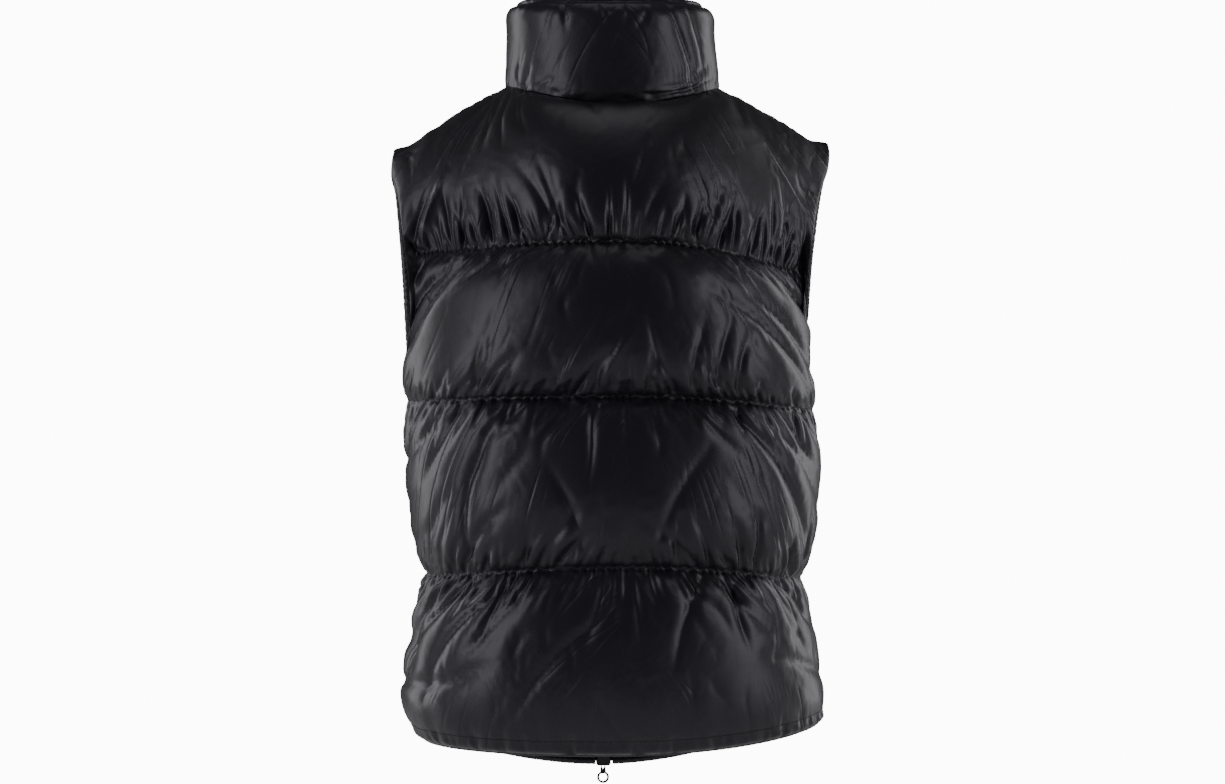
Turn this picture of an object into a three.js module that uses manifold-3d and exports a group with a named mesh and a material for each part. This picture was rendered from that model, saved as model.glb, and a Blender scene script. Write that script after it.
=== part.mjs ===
// A sleeveless down puffer jacket, worn and filled out with nobody in it.
// Millimetres, +Z up, the zip towards -Y, the wearer's left towards +X.
// The origin is on the centre line, level with the points where the shoulders meet the neck.
//
// Each padded panel is one wall: a plain inner face, and an outer face raised into four quilted
// channels with gathers at their stitch lines and the largest folds. Panels stop SEAM_GAP apart.

import * as THREE from "three";
import Module from "manifold-3d";

const { sin, cos, abs, min, max, sqrt, sign, hypot, asin, floor, exp } = Math;
const RIGHT_ANGLE = Math.PI / 2;
const HALF_TURN = Math.PI;

// ---------------------------------------------------------------- driving sizes

const SEAM_GAP = 0.3; // between two pieces that are sewn together
const STITCHED = 3.6; // wall thickness along a stitch line
const SIDE_SEAM_AT = THREE.MathUtils.degToRad(98); // a little in front of the widest place
const SQUARENESS = 0.16; // how much fuller than an ellipse a section is
const ZIP_HALF = 9.3; // from the centre line to the edge of a front panel
const NECK_SHARE = 0.5; // the share of a panel's columns that end at the neckline

// Level sections of the body, from the hem up to the armholes, at the stitched line of each.
const BODY_SECTIONS = [
  { name: "hem", zBack: -646, zLeft: -643, zRight: -627, zFront: -686,
    left: 184, right: 203, back: 128, front: 134 },
  { name: "waist", zBack: -471, zLeft: -484, zRight: -489, zFront: -484,
    left: 181, right: 184, back: 138, front: 139 },
  { name: "chest", zBack: -308, zLeft: -313, zRight: -323, zFront: -314,
    left: 200, right: 196, back: 142, front: 144 },
];
const YOKE_LINE = { zBack: -161, zLeft: -168, zRight: -184, zFront: -172 };

// Where the panels end at the top.
const NECK = { half: 104, y: -3, back: 82, front: 84, zSide: -2, zBack: -25, zFront: -78 };
const SHOULDER_TIP = { left: 212, right: 212, y: -4, zLeft: -72, zRight: -64 };
const SHOULDER_BOW = 2; // the shoulder line's rise over a straight one

// The two rows of control points between the chest line and a panel's top edge: at the panel's
// middle, below the neck point, and at the armhole on either side.
const CONTROL_ROWS = {
  back: {
    low: { middle: [0, 149, -195], neck: [124, 124, -226],
      left: [192, 94, -276], right: [169, 94, -286] },
    high: { middle: [0, 141, -80], neck: [110, 96, -62],
      left: [204, 64, -132], right: [182, 64, -126] },
  },
  front: {
    low: { middle: [0, -152, -215], neck: [124, -136, -236],
      left: [192, -112, -276], right: [172, -112, -286] },
    high: { middle: [0, -122, -132], neck: [110, -92, -74],
      left: [204, -78, -132], right: [186, -78, -126] },
  },
};

// The height that each channel's crown stands over the inner face.
const CHANNELS = [
  { name: "hem channel", back: 31, front: 29, left: 32, right: 16, crownAt: 0.37 },
  { name: "waist channel", back: 30, front: 28, left: 19, right: 21, crownAt: 0.46 },
  { name: "chest channel", back: 29, front: 27, left: 15, right: 12, crownAt: 0.42 },
  { name: "yoke", back: 28, front: 24, left: 18, right: 18, crownAt: 0.44 },
];

// Gathers along each stitch line: how many waves on each half of the body, their height, and how
// far they run into the channel below and above.
const GATHERS = [
  { line: 1, waves: 8, high: 3.4, below: 40, above: 46 },
  { line: 2, waves: 8, high: 3.2, below: 44, above: 38 },
  { line: 3, waves: 8, high: 3.0, below: 16, above: 50 },
];

// The largest folds, as troughs from one place to another, in mm across (+X) and up (+Z).
const FOLDS = [
  { side: "back", x0: 104, z0: -330, x1: 124, z1: -466, wide: 13, deep: 7 },
  { side: "back", x0: -114, z0: -334, x1: -176, z1: -448, wide: 13, deep: 7 },
  { side: "back", x0: 142, z0: -494, x1: 176, z1: -548, wide: 13, deep: 8 },
  { side: "back", x0: 122, z0: -502, x1: 164, z1: -590, wide: 12, deep: 7 },
  { side: "back", x0: 126, z0: -552, x1: 198, z1: -594, wide: 12, deep: 6 },
  { side: "back", x0: -148, z0: -600, x1: -200, z1: -612, wide: 12, deep: 6 },
  { side: "back", x0: 128, z0: -196, x1: 194, z1: -234, wide: 12, deep: 5 },
  { side: "back", x0: -132, z0: -226, x1: -188, z1: -272, wide: 12, deep: 5 },
  { side: "front", x0: 96, z0: -334, x1: 150, z1: -452, wide: 13, deep: 6 },
  { side: "front", x0: -88, z0: -338, x1: -128, z1: -462, wide: 13, deep: 6 },
  { side: "front", x0: 120, z0: -500, x1: 170, z1: -590, wide: 13, deep: 7 },
  { side: "front", x0: -124, z0: -504, x1: -172, z1: -582, wide: 13, deep: 6 },
];

// The collar stands on the neckline. Its rings are at the seam, half way up and at the top.
const COLLAR_RINGS = [
  { name: "seam", half: 104, back: 82, front: 84 },
  { name: "middle", half: 81, back: 68, front: 72 },
  { name: "top", half: 83, back: 68, front: 68 },
];
const COLLAR = {
  zTopBack: 76, zTopSide: 79, zTopFront: 50, crown: 26, topEdge: 9, yMiddle: -5, lean: 5,
};

// Soft rolled edges of the hem and of the armholes.
const ROLL = { halfThick: 3.4, halfWide: 3.2 };

const ZIP = {
  tapeThick: 1.0, chainHalf: 3.0, chainThick: 3.2, offset: 2.6,
  sliderLong: 17, sliderWide: 15, sliderNarrow: 11, plate: 1.7, sliderThick: 7.4,
  bailWide: 2.6, bailLong: 8.4, bailRise: 4.6, bailBar: 1.3,
  pullThick: 1.3, belowHem: 8,
};

// ---------------------------------------------------------------- small helpers

const mix = (a, b, k) => a + (b - a) * k;
const smooth = (k) => { const c = min(max(k, 0), 1); return c * c * (3 - 2 * c); };
const vec = (x, y, z) => new THREE.Vector3(x, y, z);
const square = (a) => a * a;

// The parabola through three evenly spaced values, at place k from 0 to 2.
const through = (a, b, c, k) => a * (k - 1) * (k - 2) / 2 - b * k * (k - 2) + c * k * (k - 1) / 2;

// A value that runs smoothly round the body from its back to its side to its front.
function roundBody(row, names, u) {
  const side = u > 0 ? row[names.left] : row[names.right];
  const middle = cos(u) > 0 ? row[names.back] : row[names.front];
  return middle * square(cos(u)) + side * square(sin(u));
}
const HEIGHTS = { left: "zLeft", right: "zRight", back: "zBack", front: "zFront" };
const WIDTHS = { left: "left", right: "right", back: "back", front: "front" };

// A repeatable uneven number from 0 to 1.
const uneven = (n) => { const v = sin(n * 12.9898 + 4.1414) * 43758.5453; return v - floor(v); };

// ---------------------------------------------------------------- the body's inner face

// A point of the body below the armholes: u runs round it from the centre back, line from the hem.
function lowerPoint(u, line) {
  const [a, b, c] = BODY_SECTIONS;
  const width = (key) => through(a[key], b[key], c[key], line);
  const half = width(u > 0 ? "left" : "right"), depth = width(cos(u) > 0 ? "back" : "front");
  const [low, middle, high] = BODY_SECTIONS.map((row) => roundBody(row, HEIGHTS, u));
  const z = through(low, middle, high, line);
  return vec(half * sin(u), depth * cos(u) * (1 + SQUARENESS * square(sin(u))), z);
}

// A panel's top edge: the neckline for columns near its middle, then the shoulder seam.
function topEdge(panel, s) {
  const across = abs(s), way = sign(s) || 1;
  const neckDepth = panel === "back" ? NECK.back : -NECK.front;
  const neckHeight = panel === "back" ? NECK.zBack : NECK.zFront;
  if (across < NECK_SHARE) {
    const start = panel === "back" ? 0 : asin(ZIP_HALF / NECK.half);
    const turn = mix(start, RIGHT_ANGLE, across / NECK_SHARE);
    return vec(way * NECK.half * sin(turn), NECK.y + neckDepth * cos(turn),
      mix(NECK.zSide, neckHeight, square(cos(turn))));
  }
  const k = (across - NECK_SHARE) / (1 - NECK_SHARE);
  const tipX = way > 0 ? SHOULDER_TIP.left : SHOULDER_TIP.right;
  const tipZ = way > 0 ? SHOULDER_TIP.zLeft : SHOULDER_TIP.zRight;
  return vec(way * mix(NECK.half, tipX, k), mix(NECK.y, SHOULDER_TIP.y, k),
    mix(NECK.zSide, tipZ, k) + SHOULDER_BOW * sin(HALF_TURN * k));
}

// The direction of the wall's thickness along the top edge, the same for both pieces sewn there.
function topNormal(panel, s) {
  const across = abs(s), way = sign(s) || 1;
  const turn = min(across / NECK_SHARE, 1) * RIGHT_ANGLE;
  const toBack = panel === "back" ? 1 : -1;
  const neck = vec(way * sin(turn), toBack * cos(turn), 0.5).normalize();
  const shoulder = vec(way * 0.45, 0, 0.9).normalize();
  return neck.lerp(shoulder, smooth((across - NECK_SHARE) / 0.12)).normalize();
}

// The curve through three values at 0, NECK_SHARE and 1 that is level at 0.
function evenThrough(a, b, c, at) {
  const k = square(at), m = square(NECK_SHARE);
  return a * (k - m) * (k - 1) / m + b * k * (k - 1) / (m * (m - 1)) + c * k * (k - m) / (1 - m);
}

// The curve from 0 through two values at NECK_SHARE and 1 that mirrors on the other side of 0.
function oddThrough(b, c, at) {
  const bend = (c - b / NECK_SHARE) / (1 - square(NECK_SHARE));
  return at * (c - bend + bend * square(at));
}

// The control point of a row for the column at s.
function controlPoint(row, panel, s) {
  const { middle, neck } = row, edge = s > 0 ? row.left : row.right;
  const across = abs(s), way = sign(s) || 1;
  const start = panel === "back" ? 0 : ZIP_HALF * (1 - across);
  return vec(way * (start + oddThrough(neck[0], edge[0], across)),
    evenThrough(middle[1], neck[1], edge[1], across),
    evenThrough(middle[2], neck[2], edge[2], across));
}

// The angle round the body of a panel's column. A back panel's s runs from -1 to 1 across the
// back; a front panel's runs from 0 at the zip to 1 or -1 at the side seam.
function columnAngle(panel, s, line) {
  if (panel === "back") return s * SIDE_SEAM_AT;
  const [a, b, c] = BODY_SECTIONS, way = sign(s) || 1, key = way > 0 ? "left" : "right";
  const zipAngle = HALF_TURN - asin(ZIP_HALF / through(a[key], b[key], c[key], min(line, 2)));
  return way * mix(zipAngle, SIDE_SEAM_AT, abs(s));
}

// The upper body's column at s, from the chest line to the top edge, as a cubic curve.
function upperColumn(panel, s) {
  const u = columnAngle(panel, s, 2), rows = CONTROL_ROWS[panel];
  const foot = lowerPoint(u, 2), head = topEdge(panel, s);
  const low = controlPoint(rows.low, panel, s), high = controlPoint(rows.high, panel, s);
  head.addScaledVector(high.clone().sub(head).normalize(), SEAM_GAP / 2);
  const curve = new THREE.CubicBezierCurve3(foot, low, high, head);
  const yokeZ = roundBody(YOKE_LINE, HEIGHTS, u);
  let [lo, hi] = [0, 1];
  for (let i = 0; i < 24; i++) {
    const half = (lo + hi) / 2;
    if (curve.getPoint(half).z < yokeZ) lo = half;
    else hi = half;
  }
  return { curve, yokeAt: lo };
}

// A point of a panel's inner face. line is 0 at the hem, 1 at the waist stitching, 2 at the
// chest stitching, 3 at the yoke stitching and 4 at the top edge.
function innerPoint(panel, s, line) {
  if (line <= 2) return lowerPoint(columnAngle(panel, s, line), line);
  const { curve, yokeAt } = upperColumn(panel, s);
  return curve.getPoint(line < 3 ? yokeAt * (line - 2) : mix(yokeAt, 1, line - 3));
}

// The outward normal of the inner face.
function faceNormal(panel, s, line) {
  const step = 0.01, way = s < 0 ? -1 : 1;
  const s0 = panel === "back" ? s - step : s - way * step * (abs(s) > step ? 1 : 0);
  const s1 = panel === "back" ? s + step : s + way * step;
  const l0 = max(line - step, 0), l1 = min(line + step, 4);
  const across = innerPoint(panel, s1, line).sub(innerPoint(panel, s0, line));
  const up = innerPoint(panel, s, l1).sub(innerPoint(panel, s, l0));
  const normal = across.cross(up).normalize();
  return normal.dot(innerPoint(panel, s, line).setZ(0)) < 0 ? normal.negate() : normal;
}

// The direction of the wall's thickness: the normal, kept level as it passes the chest line, and
// turned to the shared direction at a sewn top edge.
function innerNormal(panel, s, line) {
  const past = 0.14;
  const normal = line >= 2 && line < 2 + past
    ? faceNormal(panel, s, 1.98).lerp(faceNormal(panel, s, 2 + past), smooth((line - 2) / past))
    : faceNormal(panel, s, line);
  return normal.lerp(topNormal(panel, s), smooth((line - 3.8) / 0.2)).normalize();
}

// ---------------------------------------------------------------- the padding

// A rise from 0 to 1 over the first stretch from a sewn edge.
const risesFrom = (distance, stretch) => 1 - (1 - min(max(distance / stretch, 0), 1)) ** 2.6;

// A channel's swelling from 0 at its stitch lines to 1 at its crown. The yoke leaves its top edge
// less steeply, because the collar and the other yoke press against it there.
function swelling(share, crownAt, isYoke) {
  if (share < crownAt) return (1 - (1 - share / crownAt) ** 2.5) ** 0.62;
  const k = (1 - share) / (1 - crownAt);
  return isYoke ? 1 - (1 - k) ** 3.4 : (1 - (1 - k) ** 2.5) ** 0.62;
}

// The gathers at a place: soft waves of uneven size that are highest near their stitch line.
function gatherHeight(panel, s, line) {
  let total = 0;
  const round = panel === "back" ? s : (1 - abs(s)) * (sign(s) || 1);
  for (const g of GATHERS) {
    const away = (line - g.line) * CHANNEL_TALL;
    const reach = away < 0 ? g.below : g.above;
    if (abs(away) > 2 * reach) continue;
    const phase = round * g.waves + uneven(g.line) + (away < 0 ? 0.5 : 0);
    const wave = floor(phase);
    const size = mix(0.55, 1.25, uneven(wave * 3.7 + g.line * 17 + (panel === "back" ? 0 : 50)));
    const rise = min(abs(away) / 9, 1) * exp(-square(abs(away) / (reach * size)));
    total += g.high * size * rise * sin(2 * HALF_TURN * phase);
  }
  return total;
}
const CHANNEL_TALL = 160; // about how tall a channel is, to turn lines into mm

// How deep the folds cut at a point of the panel's inner face.
function foldDepth(panel, point) {
  let deepest = 0;
  for (const f of FOLDS) {
    if (f.side !== panel) continue;
    const dx = f.x1 - f.x0, dz = f.z1 - f.z0, long = hypot(dx, dz);
    const k = min(max(((point.x - f.x0) * dx + (point.z - f.z0) * dz) / square(long), 0), 1);
    const off = hypot(point.x - f.x0 - k * dx, point.z - f.z0 - k * dz);
    const alongIt = sin(HALF_TURN * mix(0.12, 0.88, k));
    deepest = max(deepest, f.deep * exp(-square(off / f.wide) * 2) * alongIt);
  }
  return deepest;
}

// The wall's thickness at a place of a panel.
function thickness(panel, s, line) {
  const channel = min(floor(line), 3), row = CHANNELS[channel];
  const u = columnAngle(panel, s, line);
  const swell = swelling(min(line - channel, 1), row.crownAt, channel === 3);
  const toSide = (1 - abs(s)) * 270, toZip = panel === "front" ? abs(s) * 210 : Infinity;
  const edges = risesFrom(toSide, 38) * risesFrom(toZip, 32);
  const crown = roundBody(row, WIDTHS, u);
  const full = STITCHED + (crown - STITCHED) * swell * edges;
  const relief = gatherHeight(panel, s, line) - foldDepth(panel, innerPoint(panel, s, line));
  return max(full + relief * min(1, (full - STITCHED) / 9), STITCHED)
    + EDGE_MORE * (1 - risesFrom(toZip, 12));
}
const EDGE_MORE = 1.6; // the edges beside the zip keep a little more padding

// ---------------------------------------------------------------- walls from two grids

// A closed wall over a patch: a fine outer grid, a rim as fine as the grid's edge, and a coarser
// inner grid inside the rim. point(side, s, line) gives a place on either face. The fine and the
// plain places are {ss, lines}, the columns and rows of each grid.
function wallGeometry(point, fine, plain, turned) {
  const positions = [], index = [];
  const place = (side, s, line) => {
    const p = point(side, s, line);
    positions.push(p.x, p.y, p.z);
    return positions.length / 3 - 1;
  };
  const grid = (side, { ss, lines }) => lines.map((line) => ss.map((s) => place(side, s, line)));
  const face = (a, b, c) => index.push(...(turned ? [a, c, b] : [a, b, c]));
  const fill = (g, faceQuad) => {
    for (let i = 0; i + 1 < g.length; i++)
      for (let j = 0; j + 1 < g[0].length; j++)
        faceQuad(g[i][j], g[i][j + 1], g[i + 1][j + 1], g[i + 1][j]);
  };
  const outer = grid("outer", fine), inner = grid("inner", plain);
  fill(outer, (a, b, c, d) => { face(a, b, c); face(a, c, d); });
  fill(inner, (a, b, c, d) => { face(a, c, b); face(a, d, c); });

  // The four sides of a grid in order round it, each as indices and their shares along the side.
  const sides = (g, { ss, lines }) => {
    const along = (list) => list.map((v) => (v - list[0]) / (list.at(-1) - list[0]));
    const back = (list) => along(list).map((v) => 1 - v).reverse();
    const column = (j) => g.map((row) => row[j]);
    return [[g[0], along(ss)], [column(ss.length - 1), along(lines)],
      [g.at(-1).slice().reverse(), back(ss)], [column(0).reverse(), back(lines)]];
  };
  // Joins two runs that start and end together, stepping along whichever lags.
  const join = ([a, ka], [b, kb]) => {
    let [i, j] = [0, 0];
    while (i + 1 < a.length || j + 1 < b.length) {
      const stepA = j + 1 >= b.length || (i + 1 < a.length && ka[i + 1] <= kb[j + 1]);
      if (stepA) face(a[i], b[j], a[++i]);
      else face(a[i], b[j], b[++j]);
    }
  };
  const rimOf = new Map();
  fine.lines.forEach((line, i) => fine.ss.forEach((s, j) => {
    const onRim = i === 0 || j === 0 || i === fine.lines.length - 1 || j === fine.ss.length - 1;
    if (onRim) rimOf.set(outer[i][j], place("inner", s, line));
  }));
  const innerSides = sides(inner, plain);
  sides(outer, fine).forEach(([run, shares], n) => {
    const rim = [run.map((v) => rimOf.get(v)), shares];
    join([run, shares], rim);
    join(rim, innerSides[n]);
  });
  const geometry = new THREE.BufferGeometry();
  geometry.setAttribute("position", new THREE.Float32BufferAttribute(positions, 3));
  geometry.setIndex(index);
  geometry.computeVertexNormals();
  return geometry;
}

const evenly = (from, to, steps) =>
  Array.from({ length: steps + 1 }, (_, i) => mix(from, to, i / steps));
// Rows of a quilted panel: closer together beside each stitch line.
const ROW_SHARES = [0, 0.045, 0.13, 0.25, 0.4, 0.56, 0.72, 0.85, 0.95];
const PANEL_ROWS = [0, 1, 2, 3].flatMap((n) => ROW_SHARES.map((k) => n + k)).concat(4);
const PLAIN_ROWS = evenly(0.06, 1.94, 4).concat(evenly(2.06, 3.94, 8));
const HALF_COLUMNS = 30; // columns of facets from the centre line to a side seam

function panelGeometry(panel, from, to, columns, turned) {
  const point = (side, s, line) => {
    const base = innerPoint(panel, s, line);
    if (side === "inner") return base;
    return base.addScaledVector(innerNormal(panel, s, line), thickness(panel, s, line));
  };
  const inset = 0.02;
  const plainSs = evenly(from + inset, to - inset, columns / 3);
  return wallGeometry(point, { ss: evenly(from, to, columns), lines: PANEL_ROWS },
    { ss: plainSs, lines: PLAIN_ROWS }, turned);
}

// ---------------------------------------------------------------- the collar

// The collar's columns meet the columns of the panels that it is sewn to.
const COLLAR_END = HALF_TURN - asin(ZIP_HALF / COLLAR_RINGS[0].half);
const COLLAR_SIDE = evenly(0, RIGHT_ANGLE, HALF_COLUMNS / 2)
  .concat(evenly(RIGHT_ANGLE, COLLAR_END, HALF_COLUMNS / 2).slice(1));
const COLLAR_ANGLES = COLLAR_SIDE.slice(1).reverse().map((angle) => -angle).concat(COLLAR_SIDE);

// A point of the collar at an angle round the neck, from the seam at b = 0 to the top at b = 1.
function collarPoint(side, angle, b) {
  const [low, middle, top] = COLLAR_RINGS;
  const ring = (key) => through(low[key], middle[key], top[key], 2 * b);
  // The front edges stay straight beside the zip, so the part before them is stretched a little.
  const half = ring("half"), end = HALF_TURN - asin(ZIP_HALF / half);
  const turn = abs(angle) < RIGHT_ANGLE ? angle
    : sign(angle) * mix(RIGHT_ANGLE, end, (abs(angle) - RIGHT_ANGLE) / (COLLAR_END - RIGHT_ANGLE));
  const depth = cos(turn) > 0 ? ring("back") : ring("front");
  const leaning = COLLAR.lean * b * square(cos(turn / 2));
  const y = NECK.y + (COLLAR.yMiddle - NECK.y) * b;
  const neckZ = mix(NECK.zSide, cos(turn) > 0 ? NECK.zBack : NECK.zFront, square(cos(turn)));
  const highest = cos(turn) > 0 ? COLLAR.zTopBack : COLLAR.zTopFront;
  const topZ = mix(COLLAR.zTopSide, highest, square(cos(turn)));
  const z = mix(neckZ, topZ, b) + SEAM_GAP / 2 * (1 - b);
  const base = vec(half * sin(turn) + leaning, y + depth * cos(turn), z);
  if (side === "inner") return base;
  const seamNormal = vec(sin(turn), cos(turn), 0.5).normalize();
  const level = vec(sin(turn), cos(turn), 0.04).normalize();
  const outward = seamNormal.lerp(level, smooth(b / 0.16)).normalize();
  const toZip = (COLLAR_END - abs(angle)) * half;
  const swell = risesFrom(b, 0.8) * mix(1, roundedTo(1 - b, 0.2), 1 - COLLAR.topEdge / COLLAR.crown);
  const full = STITCHED + (COLLAR.crown - STITCHED) * swell * risesFrom(toZip, 32);
  return base.addScaledVector(outward, full + EDGE_MORE * (1 - risesFrom(toZip, 12)));
}
// A quarter round from 0 to 1 over the last stretch to a folded edge.
const roundedTo = (distance, stretch) => sqrt(1 - square(1 - min(max(distance / stretch, 0), 1)));

// ---------------------------------------------------------------- swept strips and rolls

// A solid swept through frames of {centre, side, out}: section lists [along side, along out].
function sweptGeometry(frames, drawn, closed) {
  const ahead = frames[1].centre.clone().sub(frames[0].centre);
  const facing = frames[0].side.clone().cross(frames[0].out).dot(ahead) > 0;
  const section = facing ? drawn : drawn.slice().reverse();
  const positions = [], index = [], n = section.length;
  for (const f of frames)
    for (const [a, b] of section) {
      const p = f.centre.clone().addScaledVector(f.side, a).addScaledVector(f.out, b);
      positions.push(p.x, p.y, p.z);
    }
  const rings = frames.length, last = closed ? rings : rings - 1;
  for (let i = 0; i < last; i++)
    for (let j = 0; j < n; j++) {
      const i1 = (i + 1) % rings, j1 = (j + 1) % n;
      index.push(i * n + j, i * n + j1, i1 * n + j1, i * n + j, i1 * n + j1, i1 * n + j);
    }
  if (!closed)
    for (let j = 1; j + 1 < n; j++) {
      const end = (rings - 1) * n;
      index.push(0, j + 1, j, end, end + j, end + j + 1);
    }
  const geometry = new THREE.BufferGeometry();
  geometry.setAttribute("position", new THREE.Float32BufferAttribute(positions, 3));
  geometry.setIndex(index);
  geometry.computeVertexNormals();
  return geometry;
}

const ringSection = (a, b, sides) => Array.from({ length: sides }, (_, i) =>
  [a * cos(2 * HALF_TURN * i / sides), b * sin(2 * HALF_TURN * i / sides)]);
const boxSection = (x0, x1, y0, y1) => [[x0, y0], [x1, y0], [x1, y1], [x0, y1]];

// The hem's rolled edge, just under the panels' stitched lower edge, from front edge to front edge.
function hemRoll() {
  const from = columnAngle("front", -0.0001, 0), to = columnAngle("front", 0.0001, 0);
  const frames = evenly(from, to, 72).map((u) => {
    const centre = lowerPoint(u, 0), up = lowerPoint(u, 0.02).sub(centre).normalize();
    const ahead = lowerPoint(u + 0.01, 0).sub(lowerPoint(u - 0.01, 0)).normalize();
    const out = up.clone().cross(ahead).normalize();
    if (out.dot(vec(centre.x, centre.y, 0)) < 0) out.negate();
    centre.addScaledVector(up, -(ROLL.halfWide + SEAM_GAP)).addScaledVector(out, ROLL.halfThick);
    return { centre, side: up, out };
  });
  return sweptGeometry(frames, ringSection(ROLL.halfWide, ROLL.halfThick, 6), false);
}

// One armhole's rolled edge, up the back panel's edge, over the shoulder tip and down the front's.
function armholeRoll(way) {
  const edgeFrame = (panel, line) => {
    const centre = innerPoint(panel, way, line), step = 0.01;
    const along = innerPoint(panel, way, min(line + step, 4));
    along.sub(innerPoint(panel, way, max(line - step, 2)));
    const out = innerNormal(panel, way * 0.999, max(line, 2.02));
    const side = along.normalize().cross(out).normalize();
    if (side.dot(centre.clone().sub(innerPoint(panel, way * 0.9, line))) < 0) side.negate();
    return { centre, side, out: out.addScaledVector(side, -out.dot(side)).normalize() };
  };
  const blend = (a, b) => ({ centre: a.centre.clone().lerp(b.centre, 0.5),
    side: a.side.clone().add(b.side).normalize(), out: a.out.clone().add(b.out).normalize() });
  const inside = evenly(0, 1, 18).slice(1, -1).map((k) => 2 + 2 * k ** 1.5);
  const up = inside.map((line) => edgeFrame("back", line));
  const down = inside.slice().reverse().map((line) => edgeFrame("front", line));
  const low = blend(edgeFrame("back", 2.02), edgeFrame("front", 2.02));
  const tip = blend(edgeFrame("back", 3.98), edgeFrame("front", 3.98));
  const frames = [low, ...up, tip, ...down];
  for (const f of frames)
    f.centre.addScaledVector(f.side, ROLL.halfWide + 3 * SEAM_GAP)
      .addScaledVector(f.out, ROLL.halfThick - 1);
  return sweptGeometry(frames, ringSection(ROLL.halfWide, ROLL.halfThick, 6), true);
}

// ---------------------------------------------------------------- the zip

// The zip's line up the front: the body's centre front, then the front of the collar.
function zipLine() {
  const points = [];
  for (const line of evenly(0, 3.9, 22)) points.push(frontCentre(line));
  for (const b of [0.1, 0.3, 0.5, 0.7, 0.86, 1]) points.push(collarPoint("inner", COLLAR_END, b).setX(0));
  points[0].addScaledVector(points[0].clone().sub(points[1]).normalize(), ZIP.belowHem);
  return new THREE.CatmullRomCurve3(points, false, "centripetal");
}
const frontCentre = (line) => innerPoint("front", 0.0001, line).setX(0);

// Frames along a stretch of the zip's line, given as lengths from its foot.
function zipFrames(curve, from, to, steps) {
  const long = curve.getLength();
  return evenly(from, to, steps).map((at) => {
    const k = min(max(at / long, 0), 1);
    const up = curve.getTangentAt(k), out = vec(0, -up.z, up.y).normalize();
    const centre = curve.getPointAt(k).addScaledVector(out, ZIP.offset);
    return { centre, side: vec(1, 0, 0), out, up };
  });
}

// A flat plate with a given outline in the zip's plane, from one depth to another.
function plate(shape, y0, y1) {
  const cut = { depth: y1 - y0, bevelEnabled: false, curveSegments: 6 };
  return new THREE.ExtrudeGeometry(shape, cut).rotateX(RIGHT_ANGLE).translate(0, y1, 0);
}

const wasm = await Module();
wasm.setup();
const toSolid = (geometry) => {
  const plain = geometry.index ? geometry.toNonIndexed() : geometry;
  const at = plain.getAttribute("position"), seen = new Map(), vertices = [], triangles = [];
  for (let i = 0; i < at.count; i++) {
    const p = [at.getX(i), at.getY(i), at.getZ(i)], key = p.map((v) => v.toFixed(4)).join();
    if (!seen.has(key)) { seen.set(key, vertices.length / 3); vertices.push(...p); }
    triangles.push(seen.get(key));
  }
  return new wasm.Manifold(new wasm.Mesh({ numProp: 3,
    vertProperties: new Float32Array(vertices), triVerts: new Uint32Array(triangles) }));
};
const toGeometry = (solid) => {
  const made = solid.getMesh(), geometry = new THREE.BufferGeometry();
  const places = new Float32Array(made.vertProperties);
  geometry.setAttribute("position", new THREE.BufferAttribute(places, 3));
  geometry.setIndex(new THREE.BufferAttribute(new Uint32Array(made.triVerts), 1));
  geometry.computeVertexNormals();
  return geometry;
};

// A slider in its own frame: z along the zip with the shoulders at the low end, -y outwards.
// Two plates hold the tapes between them, a core joins them, and a bail carries the pull.
function sliderGeometry() {
  const wide = ZIP.sliderWide / 2, narrow = ZIP.sliderNarrow / 2, half = ZIP.sliderLong / 2;
  const outline = new THREE.Shape([[-wide, -half + 1.5], [-wide + 1.5, -half], [wide - 1.5, -half],
    [wide, -half + 1.5], [wide, -half + 5], [narrow, half - 6], [narrow, half - 1.5], [narrow - 1.5, half],
    [-narrow + 1.5, half], [-narrow, half - 1.5], [-narrow, half - 6], [-wide, -half + 5]]
    .map(([x, z]) => new THREE.Vector2(x, z)));
  const deep = ZIP.sliderThick / 2, core = ZIP.chainHalf - 0.4;
  const front = plate(outline, -deep, -deep + ZIP.plate), rear = plate(outline, deep - ZIP.plate, deep);
  const post = new THREE.BoxGeometry(2 * core, 2 * deep - 0.4, ZIP.sliderLong - 1);
  const arch = new THREE.Shape(), rise = ZIP.bailRise, reach = ZIP.bailLong / 2, bar = ZIP.bailBar;
  arch.moveTo(-reach, 0).lineTo(-reach, rise - 1.8).lineTo(-reach + 1.8, rise).lineTo(reach - 1.8, rise)
    .lineTo(reach, rise - 1.8).lineTo(reach, 0).lineTo(reach - bar, 0).lineTo(reach - bar, rise - bar - 0.8)
    .lineTo(reach - bar - 0.8, rise - bar).lineTo(-reach + bar + 0.8, rise - bar)
    .lineTo(-reach + bar, rise - bar - 0.8).lineTo(-reach + bar, 0).closePath();
  // The arch is drawn along the zip and outwards, then stood on the front plate.
  const bail = new THREE.ExtrudeGeometry(arch, { depth: ZIP.bailWide, bevelEnabled: false });
  bail.translate(0, 0, -ZIP.bailWide / 2).rotateY(-RIGHT_ANGLE);
  bail.applyMatrix4(new THREE.Matrix4().makeBasis(vec(1, 0, 0), vec(0, -1, 0), vec(0, 0, -1)));
  bail.translate(0, -deep + 0.3, BAIL_DROP);
  return toGeometry([front, rear, post, bail].map(toSolid).reduce((a, b) => a.add(b)));
}
const BAIL_DROP = -ZIP.sliderLong / 2 + ZIP.bailLong / 2 + 0.6; // the bail stands by the shoulders

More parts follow.
